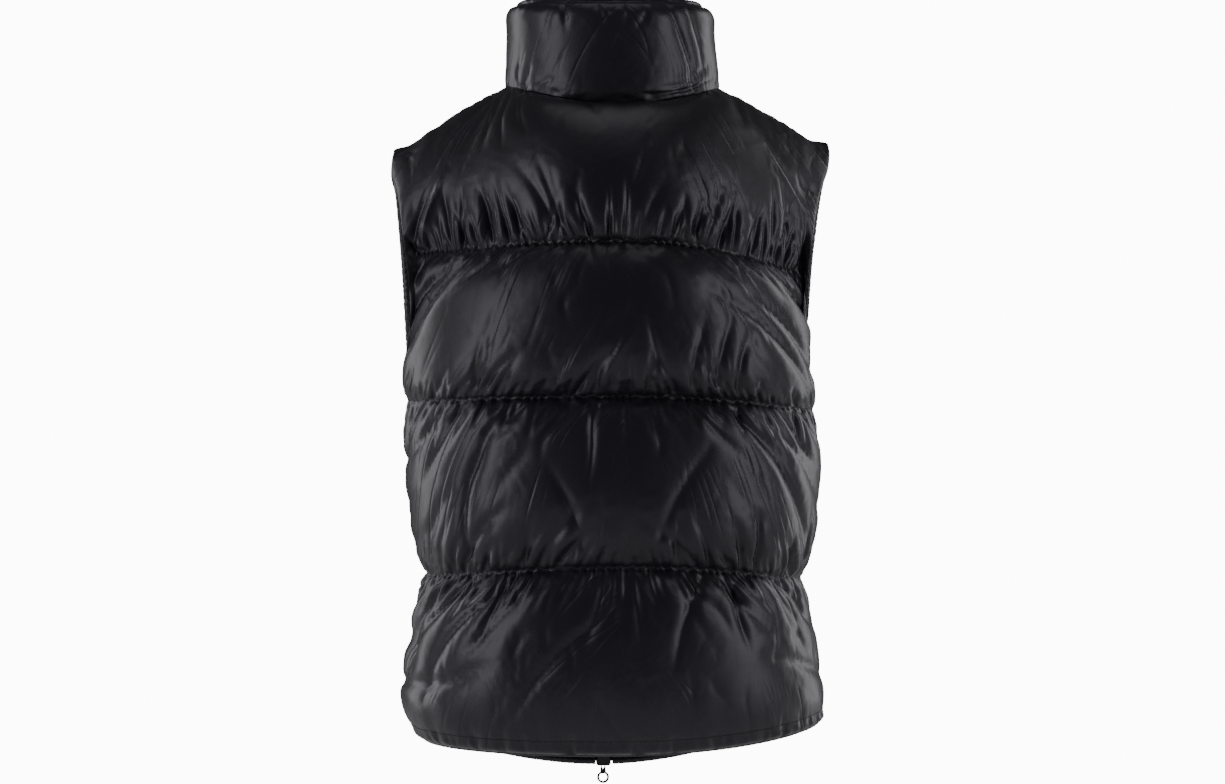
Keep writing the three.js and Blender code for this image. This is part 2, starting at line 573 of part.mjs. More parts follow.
// A pull tab hanging from its crossbar at the origin: an eye, a waist and a finger ring.
const PULL = {
  eyeWide: 8.4, eyeHole: 4.6, barHalf: 0.75, eyeLong: 7, waist: 4.6,
  ringRadius: 6, ringHole: 4.7, long: 24,
};
function pullGeometry() {
  const ringZ = -PULL.long + PULL.ringRadius, eye = PULL.eyeWide / 2, waist = PULL.waist / 2;
  const join = asin(waist / PULL.ringRadius);
  const shape = new THREE.Shape();
  shape.moveTo(-eye, PULL.barHalf).lineTo(-eye, -4.8).lineTo(-waist, -PULL.eyeLong - 1.4);
  shape.lineTo(-waist, ringZ + PULL.ringRadius * cos(join));
  shape.absarc(0, ringZ, PULL.ringRadius, RIGHT_ANGLE + join, RIGHT_ANGLE - join + 2 * HALF_TURN, false);
  shape.lineTo(waist, -PULL.eyeLong - 1.4).lineTo(eye, -4.8).lineTo(eye, PULL.barHalf).closePath();
  const eyeHole = new THREE.Path(), h = PULL.eyeHole / 2;
  eyeHole.moveTo(-h, -PULL.barHalf).lineTo(h, -PULL.barHalf).lineTo(h, -5).lineTo(1.2, -PULL.eyeLong)
    .lineTo(-1.2, -PULL.eyeLong).lineTo(-h, -5).closePath();
  const ringHole = new THREE.Path().absarc(0, ringZ, PULL.ringHole, 0, 2 * HALF_TURN, false);
  shape.holes.push(eyeHole, ringHole);
  const cut = { depth: ZIP.pullThick, bevelEnabled: false, curveSegments: 12 };
  const geometry = new THREE.ExtrudeGeometry(shape, cut);
  return geometry.rotateX(RIGHT_ANGLE).translate(0, ZIP.pullThick / 2, 0);
}
// The crossbar's distance from the zip's middle.
const PULL_OUT = ZIP.sliderThick / 2 + (ZIP.bailRise - ZIP.bailBar) / 2 - 0.15;

// ---------------------------------------------------------------- the pieces

const nylon = new THREE.MeshStandardMaterial({ color: 0x121216, roughness: 0.38, metalness: 0 });
const tape = new THREE.MeshStandardMaterial({ color: 0x0d0d0f, roughness: 0.8, metalness: 0 });
const moulded = new THREE.MeshStandardMaterial({ color: 0x0b0b0c, roughness: 0.45, metalness: 0 });
const gunmetal = new THREE.MeshStandardMaterial({ color: 0x3a3b40, roughness: 0.3, metalness: 1 });

const jacket = new THREE.Group();
function piece(name, geometry, material, parent = jacket) {
  const mesh = new THREE.Mesh(geometry, material);
  mesh.name = name;
  parent.add(mesh);
  return mesh;
}

// Each panel stops half a seam's gap short of the side seam.
const TO_SEAM = 1 - SEAM_GAP / 2 / 270;
piece("back_panel", panelGeometry("back", -TO_SEAM, TO_SEAM, 2 * HALF_COLUMNS, true), nylon);
piece("front_left", panelGeometry("front", 0.0001, TO_SEAM, HALF_COLUMNS, false), nylon);
piece("front_right", panelGeometry("front", -TO_SEAM, -0.0001, HALF_COLUMNS, false), nylon);
const COLLAR_ROWS = [0, 0.05, 0.12, 0.24, 0.45, 0.66, 0.82, 0.9, 0.96, 1];
piece("collar", wallGeometry(collarPoint, { ss: COLLAR_ANGLES, lines: COLLAR_ROWS },
  { ss: evenly(-COLLAR_END + 0.02, COLLAR_END - 0.02, 28), lines: [0.04, 0.35, 0.65, 0.96] }, true), nylon);
piece("hem_roll", hemRoll(), nylon);
piece("armhole_roll_left", armholeRoll(1), nylon);
piece("armhole_roll_right", armholeRoll(-1), nylon);

const zip = zipLine(), zipLong = zip.getLength();
const sliderHalf = ZIP.sliderLong / 2;
const bottomAt = sliderHalf, topAt = zipLong - sliderHalf - 2;
const tapeEdge = ZIP_HALF - SEAM_GAP;
const tapeFrames = zipFrames(zip, 0, zipLong, 34);
piece("zip_tape_left", sweptGeometry(tapeFrames, boxSection(ZIP.chainHalf + SEAM_GAP, tapeEdge,
  -ZIP.tapeThick / 2, ZIP.tapeThick / 2), false), tape);
piece("zip_tape_right", sweptGeometry(tapeFrames, boxSection(-tapeEdge, -ZIP.chainHalf - SEAM_GAP,
  -ZIP.tapeThick / 2, ZIP.tapeThick / 2), false), tape);
const chainFrames = zipFrames(zip, bottomAt + sliderHalf + SEAM_GAP,
  topAt - sliderHalf - SEAM_GAP, 32);
piece("zip_chain", sweptGeometry(chainFrames, boxSection(-ZIP.chainHalf, ZIP.chainHalf,
  -ZIP.chainThick / 2, ZIP.chainThick / 2), false), moulded);

// Each slider sits on the zip's line, and its pull hangs straight down from the bail.
function zipEnd(name, at, shouldersUp) {
  const [frame] = zipFrames(zip, at, at, 1);
  const place = new THREE.Group();
  const up = shouldersUp ? frame.up.clone().negate() : frame.up.clone();
  const inward = frame.out.clone().negate();
  const across = inward.clone().cross(up);
  place.applyMatrix4(new THREE.Matrix4().makeBasis(across, inward, up).setPosition(frame.centre));
  jacket.add(place);
  piece(`zip_${name}_slider`, sliderGeometry(), gunmetal, place);
  const pivot = vec(0, -PULL_OUT, BAIL_DROP);
  place.updateMatrix();
  pivot.applyMatrix4(place.matrix);
  piece(`zip_${name}_pull`, pullGeometry(), gunmetal).position.copy(pivot);
}
zipEnd("bottom", bottomAt, false);
zipEnd("top", topAt, true);

export default jacket;
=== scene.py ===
# A sleeveless down puffer jacket in glossy black nylon, worn and filled out with nobody in it.
# Metres, +Z up, the zip towards -Y, the wearer's left towards +X. The origin is on the centre
# line, level with the points where the shoulders meet the neck.

import math

import bmesh
import bpy
import numpy as np
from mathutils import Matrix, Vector


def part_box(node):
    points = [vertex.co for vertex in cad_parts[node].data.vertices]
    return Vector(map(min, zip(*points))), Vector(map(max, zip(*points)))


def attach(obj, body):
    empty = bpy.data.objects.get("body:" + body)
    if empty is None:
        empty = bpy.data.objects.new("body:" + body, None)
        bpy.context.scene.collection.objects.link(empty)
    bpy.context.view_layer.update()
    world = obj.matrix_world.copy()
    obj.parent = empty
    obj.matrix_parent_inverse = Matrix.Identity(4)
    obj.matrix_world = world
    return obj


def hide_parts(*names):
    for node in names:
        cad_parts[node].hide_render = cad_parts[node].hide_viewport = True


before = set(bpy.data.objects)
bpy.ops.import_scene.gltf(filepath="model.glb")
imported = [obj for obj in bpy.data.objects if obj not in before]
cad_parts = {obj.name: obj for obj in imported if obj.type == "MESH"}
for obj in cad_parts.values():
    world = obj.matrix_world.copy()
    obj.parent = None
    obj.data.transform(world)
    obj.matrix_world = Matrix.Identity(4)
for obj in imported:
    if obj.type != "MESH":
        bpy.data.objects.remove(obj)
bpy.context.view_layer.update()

# ---------------------------------------------------------------- camera
# It stands behind the jacket, a little to the wearer's left, level with the middle of the back.

CAMERA_AZIMUTH = math.radians(176)
CAMERA_AWAY = 3.0
CAMERA_HIGH = -0.304

camera_data = bpy.data.cameras.new("camera")
camera_data.lens = 88.2
camera_data.sensor_width = 36
camera = bpy.data.objects.new("camera", camera_data)
bpy.context.scene.collection.objects.link(camera)
camera.location = (CAMERA_AWAY * math.sin(CAMERA_AZIMUTH),
                   -CAMERA_AWAY * math.cos(CAMERA_AZIMUTH), CAMERA_HIGH)
camera.rotation_euler = (math.pi / 2, 0, CAMERA_AZIMUTH)
bpy.context.scene.camera = camera

# ---------------------------------------------------------------- back panel
# The back is a wide cut of calendered nylon over down, quilted through to its lining along three
# level lines. Its shell is longer and wider than the lining, so the down swells it between the
# lines and the stitching gathers it into puckers.

SEAM_GAP = 0.0003
STITCHED = 0.0036       # the wall's thickness along a stitch line
SIDE_SEAM_AT = math.radians(98)
SQUARENESS = 0.16
ZIP_HALF = 0.0093
NECK_SHARE = 0.5        # the share of a panel's columns that end at the neckline
HEM = dict(z_back=-.646, z_left=-.643, z_right=-.627, z_front=-.686,
           left=.184, right=.203, back=.128, front=.134)
WAIST = dict(z_back=-.471, z_left=-.484, z_right=-.489, z_front=-.484,
             left=.181, right=.184, back=.138, front=.139)
CHEST = dict(z_back=-.308, z_left=-.313, z_right=-.323, z_front=-.314,
             left=.200, right=.196, back=.142, front=.144)
YOKE_LINE = dict(z_back=-.161, z_left=-.168, z_right=-.184, z_front=-.172)
NECK = dict(half=.104, y=-.003, back=.082, front=.084, z_side=-.002, z_back=-.025, z_front=-.078)
SHOULDER_TIP = dict(x=.212, y=-.004, z_left=-.072, z_right=-.064, bow=.002)
# Two rows of control points between the chest line and a panel's top edge: at its middle, below
# the neck point, and at the armhole on the wearer's left and right.
CONTROL_ROWS = {
    "back": (dict(middle=(0, .149, -.195), neck=(.124, .124, -.226),
                  left=(.192, .094, -.276), right=(.169, .094, -.286)),
             dict(middle=(0, .141, -.080), neck=(.110, .096, -.062),
                  left=(.204, .064, -.132), right=(.182, .064, -.126))),
    "front": (dict(middle=(0, -.152, -.215), neck=(.124, -.136, -.236),
                   left=(.192, -.112, -.276), right=(.172, -.112, -.286)),
              dict(middle=(0, -.122, -.132), neck=(.110, -.092, -.074),
                   left=(.204, -.078, -.132), right=(.186, -.078, -.126))),
}
# How high each channel's crown stands over the lining, and where up the channel it lies.
CHANNELS = (dict(back=.031, front=.029, left=.032, right=.016, crown_at=.37),
            dict(back=.030, front=.028, left=.019, right=.021, crown_at=.46),
            dict(back=.029, front=.027, left=.015, right=.012, crown_at=.42),
            dict(back=.028, front=.024, left=.018, right=.018, crown_at=.44))
CHANNEL_TALL = 0.163


def smooth(k):
    """An S curve from 0 to 1: three squares less two cubes of k."""
    k = np.clip(k, 0, 1)
    return k * k * (3 - 2 * k)


def through(a, b, c, k):
    """The parabola through a, b and c at k = 0, 1 and 2."""
    return a * (k - 1) * (k - 2) / 2 - b * k * (k - 2) + c * k * (k - 1) / 2


def round_the_body(back, front, left, right, u):
    """A size that runs from its back or front value to its side value as the sine of u squared."""
    middle, side = np.where(np.cos(u) > 0, back, front), np.where(u > 0, left, right)
    return middle * np.cos(u) ** 2 + side * np.sin(u) ** 2


def body_below_arms(u, line):
    """The lining below the armholes: an ellipse at angle u, fuller by SQUARENESS at its corners,
    whose half width, depth and height follow parabolas through the hem, waist and chest lines."""
    def along(key):
        return through(HEM[key], WAIST[key], CHEST[key], line)

    def level(row):
        return round_the_body(row["z_back"], row["z_front"], row["z_left"], row["z_right"], u)
    half = np.where(u > 0, along("left"), along("right"))
    deep = np.where(np.cos(u) > 0, along("back"), along("front"))
    z = through(level(HEM), level(WAIST), level(CHEST), line)
    y = deep * np.cos(u) * (1 + SQUARENESS * np.sin(u) ** 2)
    return np.stack([half * np.sin(u), y, z], -1)


def column_angle(panel, s, line):
    """The angle round the body of the column at s: the back runs evenly from -1 to 1, a front
    runs from the zip's edge at 0 to the side seam at 1."""
    if panel == "back":
        return s * SIDE_SEAM_AT
    low = np.minimum(line, 2)
    half = np.where(s > 0, through(HEM["left"], WAIST["left"], CHEST["left"], low),
                    through(HEM["right"], WAIST["right"], CHEST["right"], low))
    at_zip = math.pi - np.arcsin(ZIP_HALF / half)
    return np.where(s < 0, -1, 1) * (at_zip + (SIDE_SEAM_AT - at_zip) * np.abs(s))


def top_edge(panel, s):
    """The neckline's quarter ellipse up to NECK_SHARE, then the shoulder seam with a small bow."""
    across, way = np.abs(s), np.where(s < 0, -1, 1)
    deep, high = ((NECK["back"], NECK["z_back"]) if panel == "back"
                  else (-NECK["front"], NECK["z_front"]))
    start = 0 if panel == "back" else math.asin(ZIP_HALF / NECK["half"])
    turn = start + (math.pi / 2 - start) * np.clip(across / NECK_SHARE, 0, 1)
    neck = np.stack([way * NECK["half"] * np.sin(turn), NECK["y"] + deep * np.cos(turn),
                     NECK["z_side"] + (high - NECK["z_side"]) * np.cos(turn) ** 2], -1)
    k = np.clip((across - NECK_SHARE) / (1 - NECK_SHARE), 0, 1)
    tip_z = np.where(way > 0, SHOULDER_TIP["z_left"], SHOULDER_TIP["z_right"])
    shoulder = np.stack([way * (NECK["half"] + (SHOULDER_TIP["x"] - NECK["half"]) * k),
                         NECK["y"] + (SHOULDER_TIP["y"] - NECK["y"]) * k,
                         NECK["z_side"] + (tip_z - NECK["z_side"]) * k
                         + SHOULDER_TIP["bow"] * np.sin(math.pi * k)], -1)
    return np.where((across < NECK_SHARE)[..., None], neck, shoulder)


def control_points(panel, row, s):
    """A row of control points at s: even curves through three values in y and z, and an odd cubic
    through two in x, so the panel runs level through its middle."""
    across, way = np.abs(s), np.where(s < 0, -1, 1)
    k, m = across * across, NECK_SHARE ** 2
    edge = np.where((s > 0)[..., None], row["left"], row["right"])

    def even(a, b, c):
        return (a * (k - m) * (k - 1) / m + b * k * (k - 1) / (m * (m - 1))
                + c * k * (k - m) / (1 - m))
    bend = (edge[..., 0] - row["neck"][0] / NECK_SHARE) / (1 - m)
    start = 0 if panel == "back" else ZIP_HALF * (1 - across)
    x = way * (start + across * (edge[..., 0] - bend + bend * k))
    return np.stack([x, even(row["middle"][1], row["neck"][1], edge[..., 1]),
                     even(row["middle"][2], row["neck"][2], edge[..., 2])], -1)


def lining(panel, s, line):
    """The lining's points, rows of line by columns of s. Below the chest line it is the body's
    ellipse; above it each column is a cubic Bezier curve from the chest line to the top edge,
    with the yoke's stitching where the curve passes the yoke line's height."""
    columns, rows = np.meshgrid(s, line)
    below = body_below_arms(column_angle(panel, columns, rows), np.minimum(rows, 2))
    u = column_angle(panel, s, np.full_like(s, 2.0))
    low, high = (control_points(panel, row, s) for row in CONTROL_ROWS[panel])
    points = (body_below_arms(u, np.full_like(s, 2.0)), low, high, top_edge(panel, s))

    def column(t):
        t = t[..., None]
        return (points[0] * (1 - t) ** 3 + 3 * points[1] * t * (1 - t) ** 2
                + 3 * points[2] * t * t * (1 - t) + points[3] * t ** 3)
    yoke_z = round_the_body(YOKE_LINE["z_back"], YOKE_LINE["z_front"],
                            YOKE_LINE["z_left"], YOKE_LINE["z_right"], u)
    lower, upper = np.zeros_like(s), np.ones_like(s)
    for _ in range(24):
        middle = (lower + upper) / 2
        short = column(middle)[..., 2] < yoke_z
        lower, upper = np.where(short, middle, lower), np.where(short, upper, middle)
    t = np.where(rows < 3, lower * (rows - 2), lower + (1 - lower) * (rows - 3))
    return np.where((rows <= 2)[..., None], below, column(np.clip(t, 0, 1)))


def blur(values, rows, columns):
    """A soft average over a grid: each value is the Gaussian mean of its neighbours, with spreads
    of rows and columns given in grid steps."""
    for axis, spread in ((0, rows), (1, columns)):
        if spread:
            n = np.arange(values.shape[axis])
            weight = np.exp(-0.5 * ((n[:, None] - n[None, :]) / spread) ** 2)
            weight /= weight.sum(1, keepdims=True)
            values = np.moveaxis(np.tensordot(weight, values, (1, axis)), 0, axis)
    return values


def unit(v):
    """Vectors cut to length 1."""
    return v / (np.linalg.norm(v, axis=-1, keepdims=True) + 1e-12)


def facing_out(points):
    """The grid's normals, as the cross product of its two directions, turned off the body."""
    normal = unit(np.cross(np.gradient(points, axis=1), np.gradient(points, axis=0)))
    return normal * np.sign(np.sum(normal[..., :2] * points[..., :2]))


def thickness_way(panel, points, s, line):
    """The direction of the wall's thickness: the lining's normal, evened a little, and turned at
    a sewn top edge to the direction that both pieces share there."""
    normal = unit(blur(facing_out(points), 1.5, 0))
    across, way = np.abs(s), np.where(s < 0, -1, 1)
    turn = np.minimum(across / NECK_SHARE, 1) * math.pi / 2
    to_back = 1 if panel == "back" else -1
    neck = unit(np.stack([way * np.sin(turn), to_back * np.cos(turn), 0 * turn + .5], -1))
    shoulder = unit(np.stack([way * .45, 0 * turn, 0 * turn + .9], -1))
    top = unit(neck + (shoulder - neck) * smooth((across - NECK_SHARE) / .12)[..., None])
    k = smooth((line - 3.8) / .2)[:, None, None]
    return unit(normal + (top[None] - normal) * k)


def rises_from(distance, stretch):
    """A rise from 0 to 1 over the first stretch from a sewn edge, steep and then level."""
    return 1 - (1 - np.clip(distance / stretch, 0, 1)) ** 2.6


def swelling(panel, s, line):
    """The share of its crown that the padding reaches: from 0 on a stitch line it rises as one
    less a power of the distance left to the crown, and it falls away to the panel's edges."""
    columns, rows = np.meshgrid(s, line)
    channel = np.minimum(rows.astype(int), 3)
    share = np.minimum(rows - channel, 1)
    at = np.choose(channel, [c["crown_at"] for c in CHANNELS])
    left = np.where(share < at, 1 - share / at, 1 - (1 - share) / (1 - at))
    steep = (1 - np.clip(left, 0, 1) ** 2.5) ** .62
    soft = 1 - np.clip(left, 0, 1) ** 3.4
    rise = np.where((channel == 3) & (share >= at), soft, steep)
    edges = rises_from((1 - np.abs(columns)) * .27, .038)
    if panel == "front":
        edges = edges * rises_from(np.abs(columns) * .21, .032)
    return rise * edges


def crown_height(panel, s, line):
    """Each channel's crown at its place round the body."""
    columns, rows = np.meshgrid(s, line)
    channel = np.minimum(rows.astype(int), 3)
    u = column_angle(panel, columns, rows)
    back, front, left, right = (np.choose(channel, [c[key] for c in CHANNELS])
                                for key in ("back", "front", "left", "right"))
    return round_the_body(back, front, left, right, u)


def quilted_rows(per_channel):
    """Rows up a panel, packed closer beside each stitch line by a sine."""
    k = np.arange(per_channel) / per_channel
    k = k - .45 * np.sin(2 * math.pi * k) / (2 * math.pi)
    return np.concatenate([k + n for n in range(4)] + [[4.0]])


def uneven(seed, count, spread):
    """A seeded wandering line of numbers with a mean size of 1, evened over spread steps."""
    numbers = np.random.default_rng(seed).standard_normal(count + 2 * int(4 * spread + 2))
    reach = np.arange(-int(4 * spread + 2), int(4 * spread + 2) + 1)
    kernel = np.exp(-0.5 * (reach / spread) ** 2)
    return np.convolve(numbers, kernel / np.sqrt((kernel ** 2).sum()), "valid")[:count]


# The creases that can be told apart on the back, in mm across (+X) and up (+Z) from one end to
# the other. bow is how far the middle swings to the crease's left, wide is half its width, and
# deep is its depth, below 0 for a ridge.
BACK_CREASES = (
    dict(x0=199, z0=-168, x1=174, z1=-112, bow=4, wide=5, deep=3.6),
    dict(x0=186, z0=-166, x1=160, z1=-100, bow=4, wide=5, deep=-3.4),
    dict(x0=150, z0=-166, x1=143, z1=-118, bow=-3, wide=5, deep=2.6),
    dict(x0=113, z0=-162, x1=127, z1=-112, bow=-3, wide=5, deep=2.4),
    dict(x0=60, z0=-160, x1=89, z1=-95, bow=-5, wide=6, deep=3.0),
    dict(x0=31, z0=-160, x1=46, z1=-114, bow=-3, wide=5, deep=2.6),
    dict(x0=-16, z0=-160, x1=-35, z1=-113, bow=3, wide=5, deep=2.4),
    dict(x0=-64, z0=-164, x1=-88, z1=-118, bow=4, wide=5, deep=3.0),
    dict(x0=-92, z0=-168, x1=-107, z1=-130, bow=3, wide=4, deep=2.6),
    dict(x0=-117, z0=-172, x1=-131, z1=-132, bow=3, wide=5, deep=2.8),
    dict(x0=-150, z0=-178, x1=-168, z1=-120, bow=4, wide=6, deep=3.4),
    dict(x0=106, z0=-12, x1=152, z1=-54, bow=3, wide=4, deep=1.6),
    dict(x0=106, z0=-14, x1=140, z1=-72, bow=3, wide=4, deep=1.8),
    dict(x0=103, z0=-18, x1=120, z1=-74, bow=2, wide=4, deep=1.8),
    dict(x0=98, z0=-22, x1=101, z1=-70, bow=-2, wide=4, deep=1.6),
    dict(x0=88, z0=-26, x1=82, z1=-62, bow=-2, wide=4, deep=1.4),
    dict(x0=28, z0=-36, x1=18, z1=-56, bow=0, wide=4, deep=1.2),
    dict(x0=-172, z0=-94, x1=-200, z1=-108, bow=-11, wide=4, deep=3.2),
    dict(x0=151, z0=-182, x1=204, z1=-252, bow=-8, wide=6, deep=4.6),
    dict(x0=137, z0=-172, x1=198, z1=-268, bow=-6, wide=6, deep=4.4),
    dict(x0=182, z0=-178, x1=206, z1=-216, bow=-3, wide=5, deep=3.4),
    dict(x0=132, z0=-307, x1=126, z1=-264, bow=3, wide=5, deep=3.0),
    dict(x0=60, z0=-307, x1=66, z1=-272, bow=-2, wide=5, deep=2.6),
    dict(x0=17, z0=-307, x1=-5, z1=-250, bow=6, wide=7, deep=-4.2),
    dict(x0=28, z0=-307, x1=8, z1=-262, bow=6, wide=5, deep=3.0),
    dict(x0=-26, z0=-307, x1=-30, z1=-268, bow=3, wide=5, deep=2.6),
    dict(x0=-21, z0=-236, x1=-47, z1=-300, bow=-4, wide=4, deep=3.0),
    dict(x0=-64, z0=-306, x1=-70, z1=-244, bow=4, wide=5, deep=3.2),
    dict(x0=-86, z0=-306, x1=-96, z1=-236, bow=4, wide=6, deep=3.6),
    dict(x0=-107, z0=-308, x1=-112, z1=-250, bow=4, wide=5, deep=3.0),
    dict(x0=-74, z0=-208, x1=-172, z1=-292, bow=9, wide=6, deep=4.8),
    dict(x0=-117, z0=-214, x1=-186, z1=-288, bow=7, wide=6, deep=4.6),
    dict(x0=-150, z0=-200, x1=-190, z1=-250, bow=6, wide=5, deep=3.6),
    dict(x0=146, z0=-322, x1=196, z1=-380, bow=-6, wide=6, deep=4.0),
    dict(x0=117, z0=-340, x1=137, z1=-470, bow=-9, wide=8, deep=5.2),
    dict(x0=65, z0=-378, x1=36, z1=-456, bow=5, wide=5, deep=3.2),
    dict(x0=31, z0=-316, x1=33, z1=-390, bow=3, wide=5, deep=3.0),
    dict(x0=-74, z0=-360, x1=-26, z1=-470, bow=-8, wide=7, deep=3.4),
    dict(x0=-107, z0=-326, x1=-172, z1=-470, bow=12, wide=9, deep=6.0),
    dict(x0=-128, z0=-326, x1=-186, z1=-420, bow=8, wide=6, deep=4.2),
    dict(x0=150, z0=-400, x1=172, z1=-470, bow=-5, wide=6, deep=4.0),
    dict(x0=165, z0=-478, x1=172, z1=-566, bow=-12, wide=6, deep=5.0),
    dict(x0=146, z0=-478, x1=174, z1=-574, bow=-13, wide=6, deep=5.2),
    dict(x0=124, z0=-478, x1=178, z1=-588, bow=-15, wide=7, deep=5.6),
    dict(x0=98, z0=-480, x1=164, z1=-604, bow=-14, wide=7, deep=4.4),
    dict(x0=208, z0=-536, x1=176, z1=-556, bow=2, wide=6, deep=3.6),
    dict(x0=213, z0=-590, x1=116, z1=-564, bow=-10, wide=7, deep=4.8),
    dict(x0=-7, z0=-502, x1=98, z1=-616, bow=-14, wide=9, deep=3.2),
    dict(x0=-74, z0=-480, x1=-45, z1=-562, bow=-5, wide=6, deep=3.2),
    dict(x0=-104, z0=-478, x1=-112, z1=-546, bow=-5, wide=6, deep=3.4),
    dict(x0=-129, z0=-556, x1=-196, z1=-590, bow=5, wide=7, deep=4.6),
    dict(x0=-140, z0=-482, x1=-186, z1=-540, bow=6, wide=6, deep=4.2),
)


def creased(creases, points):
    """The depth of all creases at the lining's points: each is a bent line whose section falls off
    exponentially from a slightly rounded bottom, cut off at both ends by a sine. A crease is kept
    as wide as the grid's steps across it."""
    total = np.zeros(points.shape[:-1])
    up, along = (np.linalg.norm(np.gradient(points, axis=k), axis=-1) for k in (0, 1))
    for c in creases:
        dx, dz = (c["x1"] - c["x0"]) / 1000, (c["z1"] - c["z0"]) / 1000
        x, z = points[..., 0] - c["x0"] / 1000, points[..., 2] - c["z0"] / 1000
        long = math.hypot(dx, dz)
        k = (x * dx + z * dz) / long ** 2
        off = (x * dz - z * dx) / long - c["bow"] / 1000 * np.sin(math.pi * np.clip(k, 0, 1))
        past = np.clip(np.abs(k - .5) - .5, 0, None) * long
        ends = np.clip(np.sin(math.pi * (.1 + .8 * np.clip(k, 0, 1))), 0, 1)
        steps = (up * abs(dx) + along * abs(dz)) / long
        width = np.hypot(c["wide"] * .0004, .8 * steps)
        total += (c["deep"] / 1000 * ends * np.exp(-np.hypot(off, .0007) / width)
                  * np.exp(-.5 * (past / .004) ** 2))
    return total


def strewn_creases(seed, count):
    """Small creases strewn over a panel: the further out one lies the more it slants outwards as
    it runs down, and its length, width and depth are uneven."""
    numbers = np.random.default_rng(seed)
    creases = []
    for _ in range(count):
        x, z = numbers.uniform(-205, 205), numbers.uniform(-640, -60)
        long = 16 + 20 * abs(numbers.standard_normal())
        slant = x / 190 * .9 + .35 * numbers.standard_normal()
        creases.append(dict(x0=x, z0=z, x1=x + slant * long, z1=z - long,
                            bow=2.5 * numbers.standard_normal(), wide=numbers.uniform(2, 4),
                            deep=numbers.uniform(.5, 1.7)))
    return tuple(creases)


def sheet_mesh(name, points, turned=False):
    """A mesh of quads over a grid of points."""
    index = np.arange(points.shape[0] * points.shape[1]).reshape(points.shape[:2])
    quads = np.stack([index[:-1, :-1], index[:-1, 1:], index[1:, 1:], index[1:, :-1]], -1)
    quads = quads.reshape(-1, 4)[:, ::-1 if turned else 1]
    mesh = bpy.data.meshes.new(name)
    mesh.from_pydata(points.reshape(-1, 3).tolist(), [], quads.tolist())
    return mesh


def blown_up(name, start, cut, sewn, frames=14):
    """The shell after the down has pushed it out: cloth that starts at start, whose own size is
    cut's, held where sewn is 1, under an even pressure. Its weight is left out of it, since the down
    carries it."""
    normal = facing_out(start)
    mesh = sheet_mesh(name, start)
    mesh.update()
    if Vector(mesh.polygons[0].normal).dot(Vector(normal[0, 0])) < 0:
        mesh.flip_normals()
    piece = bpy.data.objects.new(name, mesh)
    bpy.context.scene.collection.objects.link(piece)
    piece.shape_key_add(name="start")
    key = piece.shape_key_add(name="cut")
    key.data.foreach_set("co", cut.reshape(-1).astype(np.float32))
    key.value = 0
    group = piece.vertex_groups.new(name="sewn")
    group.add(np.nonzero(sewn.reshape(-1))[0].tolist(), 1, "REPLACE")
    cloth = piece.modifiers.new("down", "CLOTH")
    settings = cloth.settings
    settings.quality = 4
    settings.mass = .05
    settings.tension_stiffness = settings.compression_stiffness = 20
    settings.shear_stiffness = 8
    settings.bending_stiffness = .05
    settings.bending_damping = .5
    settings.air_damping = 2
    settings.vertex_group_mass = "sewn"
    settings.use_pressure = True
    settings.uniform_pressure_force = 5
    settings.rest_shape_key = key
    settings.effector_weights.gravity = 0
    cloth.collision_settings.use_collision = False
    cloth.collision_settings.use_self_collision = False
    cloth.point_cache.frame_start, cloth.point_cache.frame_end = 1, frames
    for step in range(1, frames + 1):
        bpy.context.scene.frame_set(step)
    settled = piece.evaluated_get(bpy.context.evaluated_depsgraph_get()).to_mesh()
    places = np.empty(start.size)
    settled.vertices.foreach_get("co", places)
    bpy.data.objects.remove(piece)
    bpy.data.meshes.remove(mesh)
    bpy.context.scene.frame_set(1)
    return places.reshape(start.shape)


def finer(values, rows, columns):
    """The grid at more rows and columns: a cubic through each four neighbours, with straight
    ends. rows and columns are the new counts."""
    for axis, count in ((0, rows), (1, columns)):
        had = values.shape[axis]
        at = np.linspace(0, had - 1, count)
        i = np.minimum(at.astype(int), had - 2)
        t = at - i
        weights = np.stack([-.5 * t ** 3 + t ** 2 - .5 * t, 1.5 * t ** 3 - 2.5 * t ** 2 + 1,
                            -1.5 * t ** 3 + 2 * t ** 2 + .5 * t, .5 * t ** 3 - .5 * t ** 2])
        table = np.zeros((count, had + 2))
        for j in range(4):
            table[np.arange(count), i + j] += weights[j]
        table[:, 1] += 2 * table[:, 0]
        table[:, 2] -= table[:, 0]
        table[:, -2] += 2 * table[:, -1]
        table[:, -3] -= table[:, -1]
        values = np.moveaxis(np.tensordot(table[:, 1:-1], values, (1, axis)), 0, axis)
    return values


def finer_rows(values, per_channel, wanted, columns):
    """The same, channel by channel, so that a stitch line stays a sharp valley."""
    parts = [finer(values[n * per_channel:(n + 1) * per_channel + 1], wanted + 1, columns)
             for n in range(4)]
    return np.concatenate([part[:-1] for part in parts] + [parts[3][-1:]])


SIM_ROWS, SHOWN_ROWS = 32, 48   # rows to a channel while the cloth settles, and as it is kept
# How far the padding rolls over the elastic at an armhole, how much further near the shoulder's
# tip, and how far down at the hem, and the depth of the line that the hem's seam draws.
OVER_ARMHOLE, OVER_TIP, OVER_HEM, HEM_LINE_DEEP = .0036, .0036, .0042, .0004
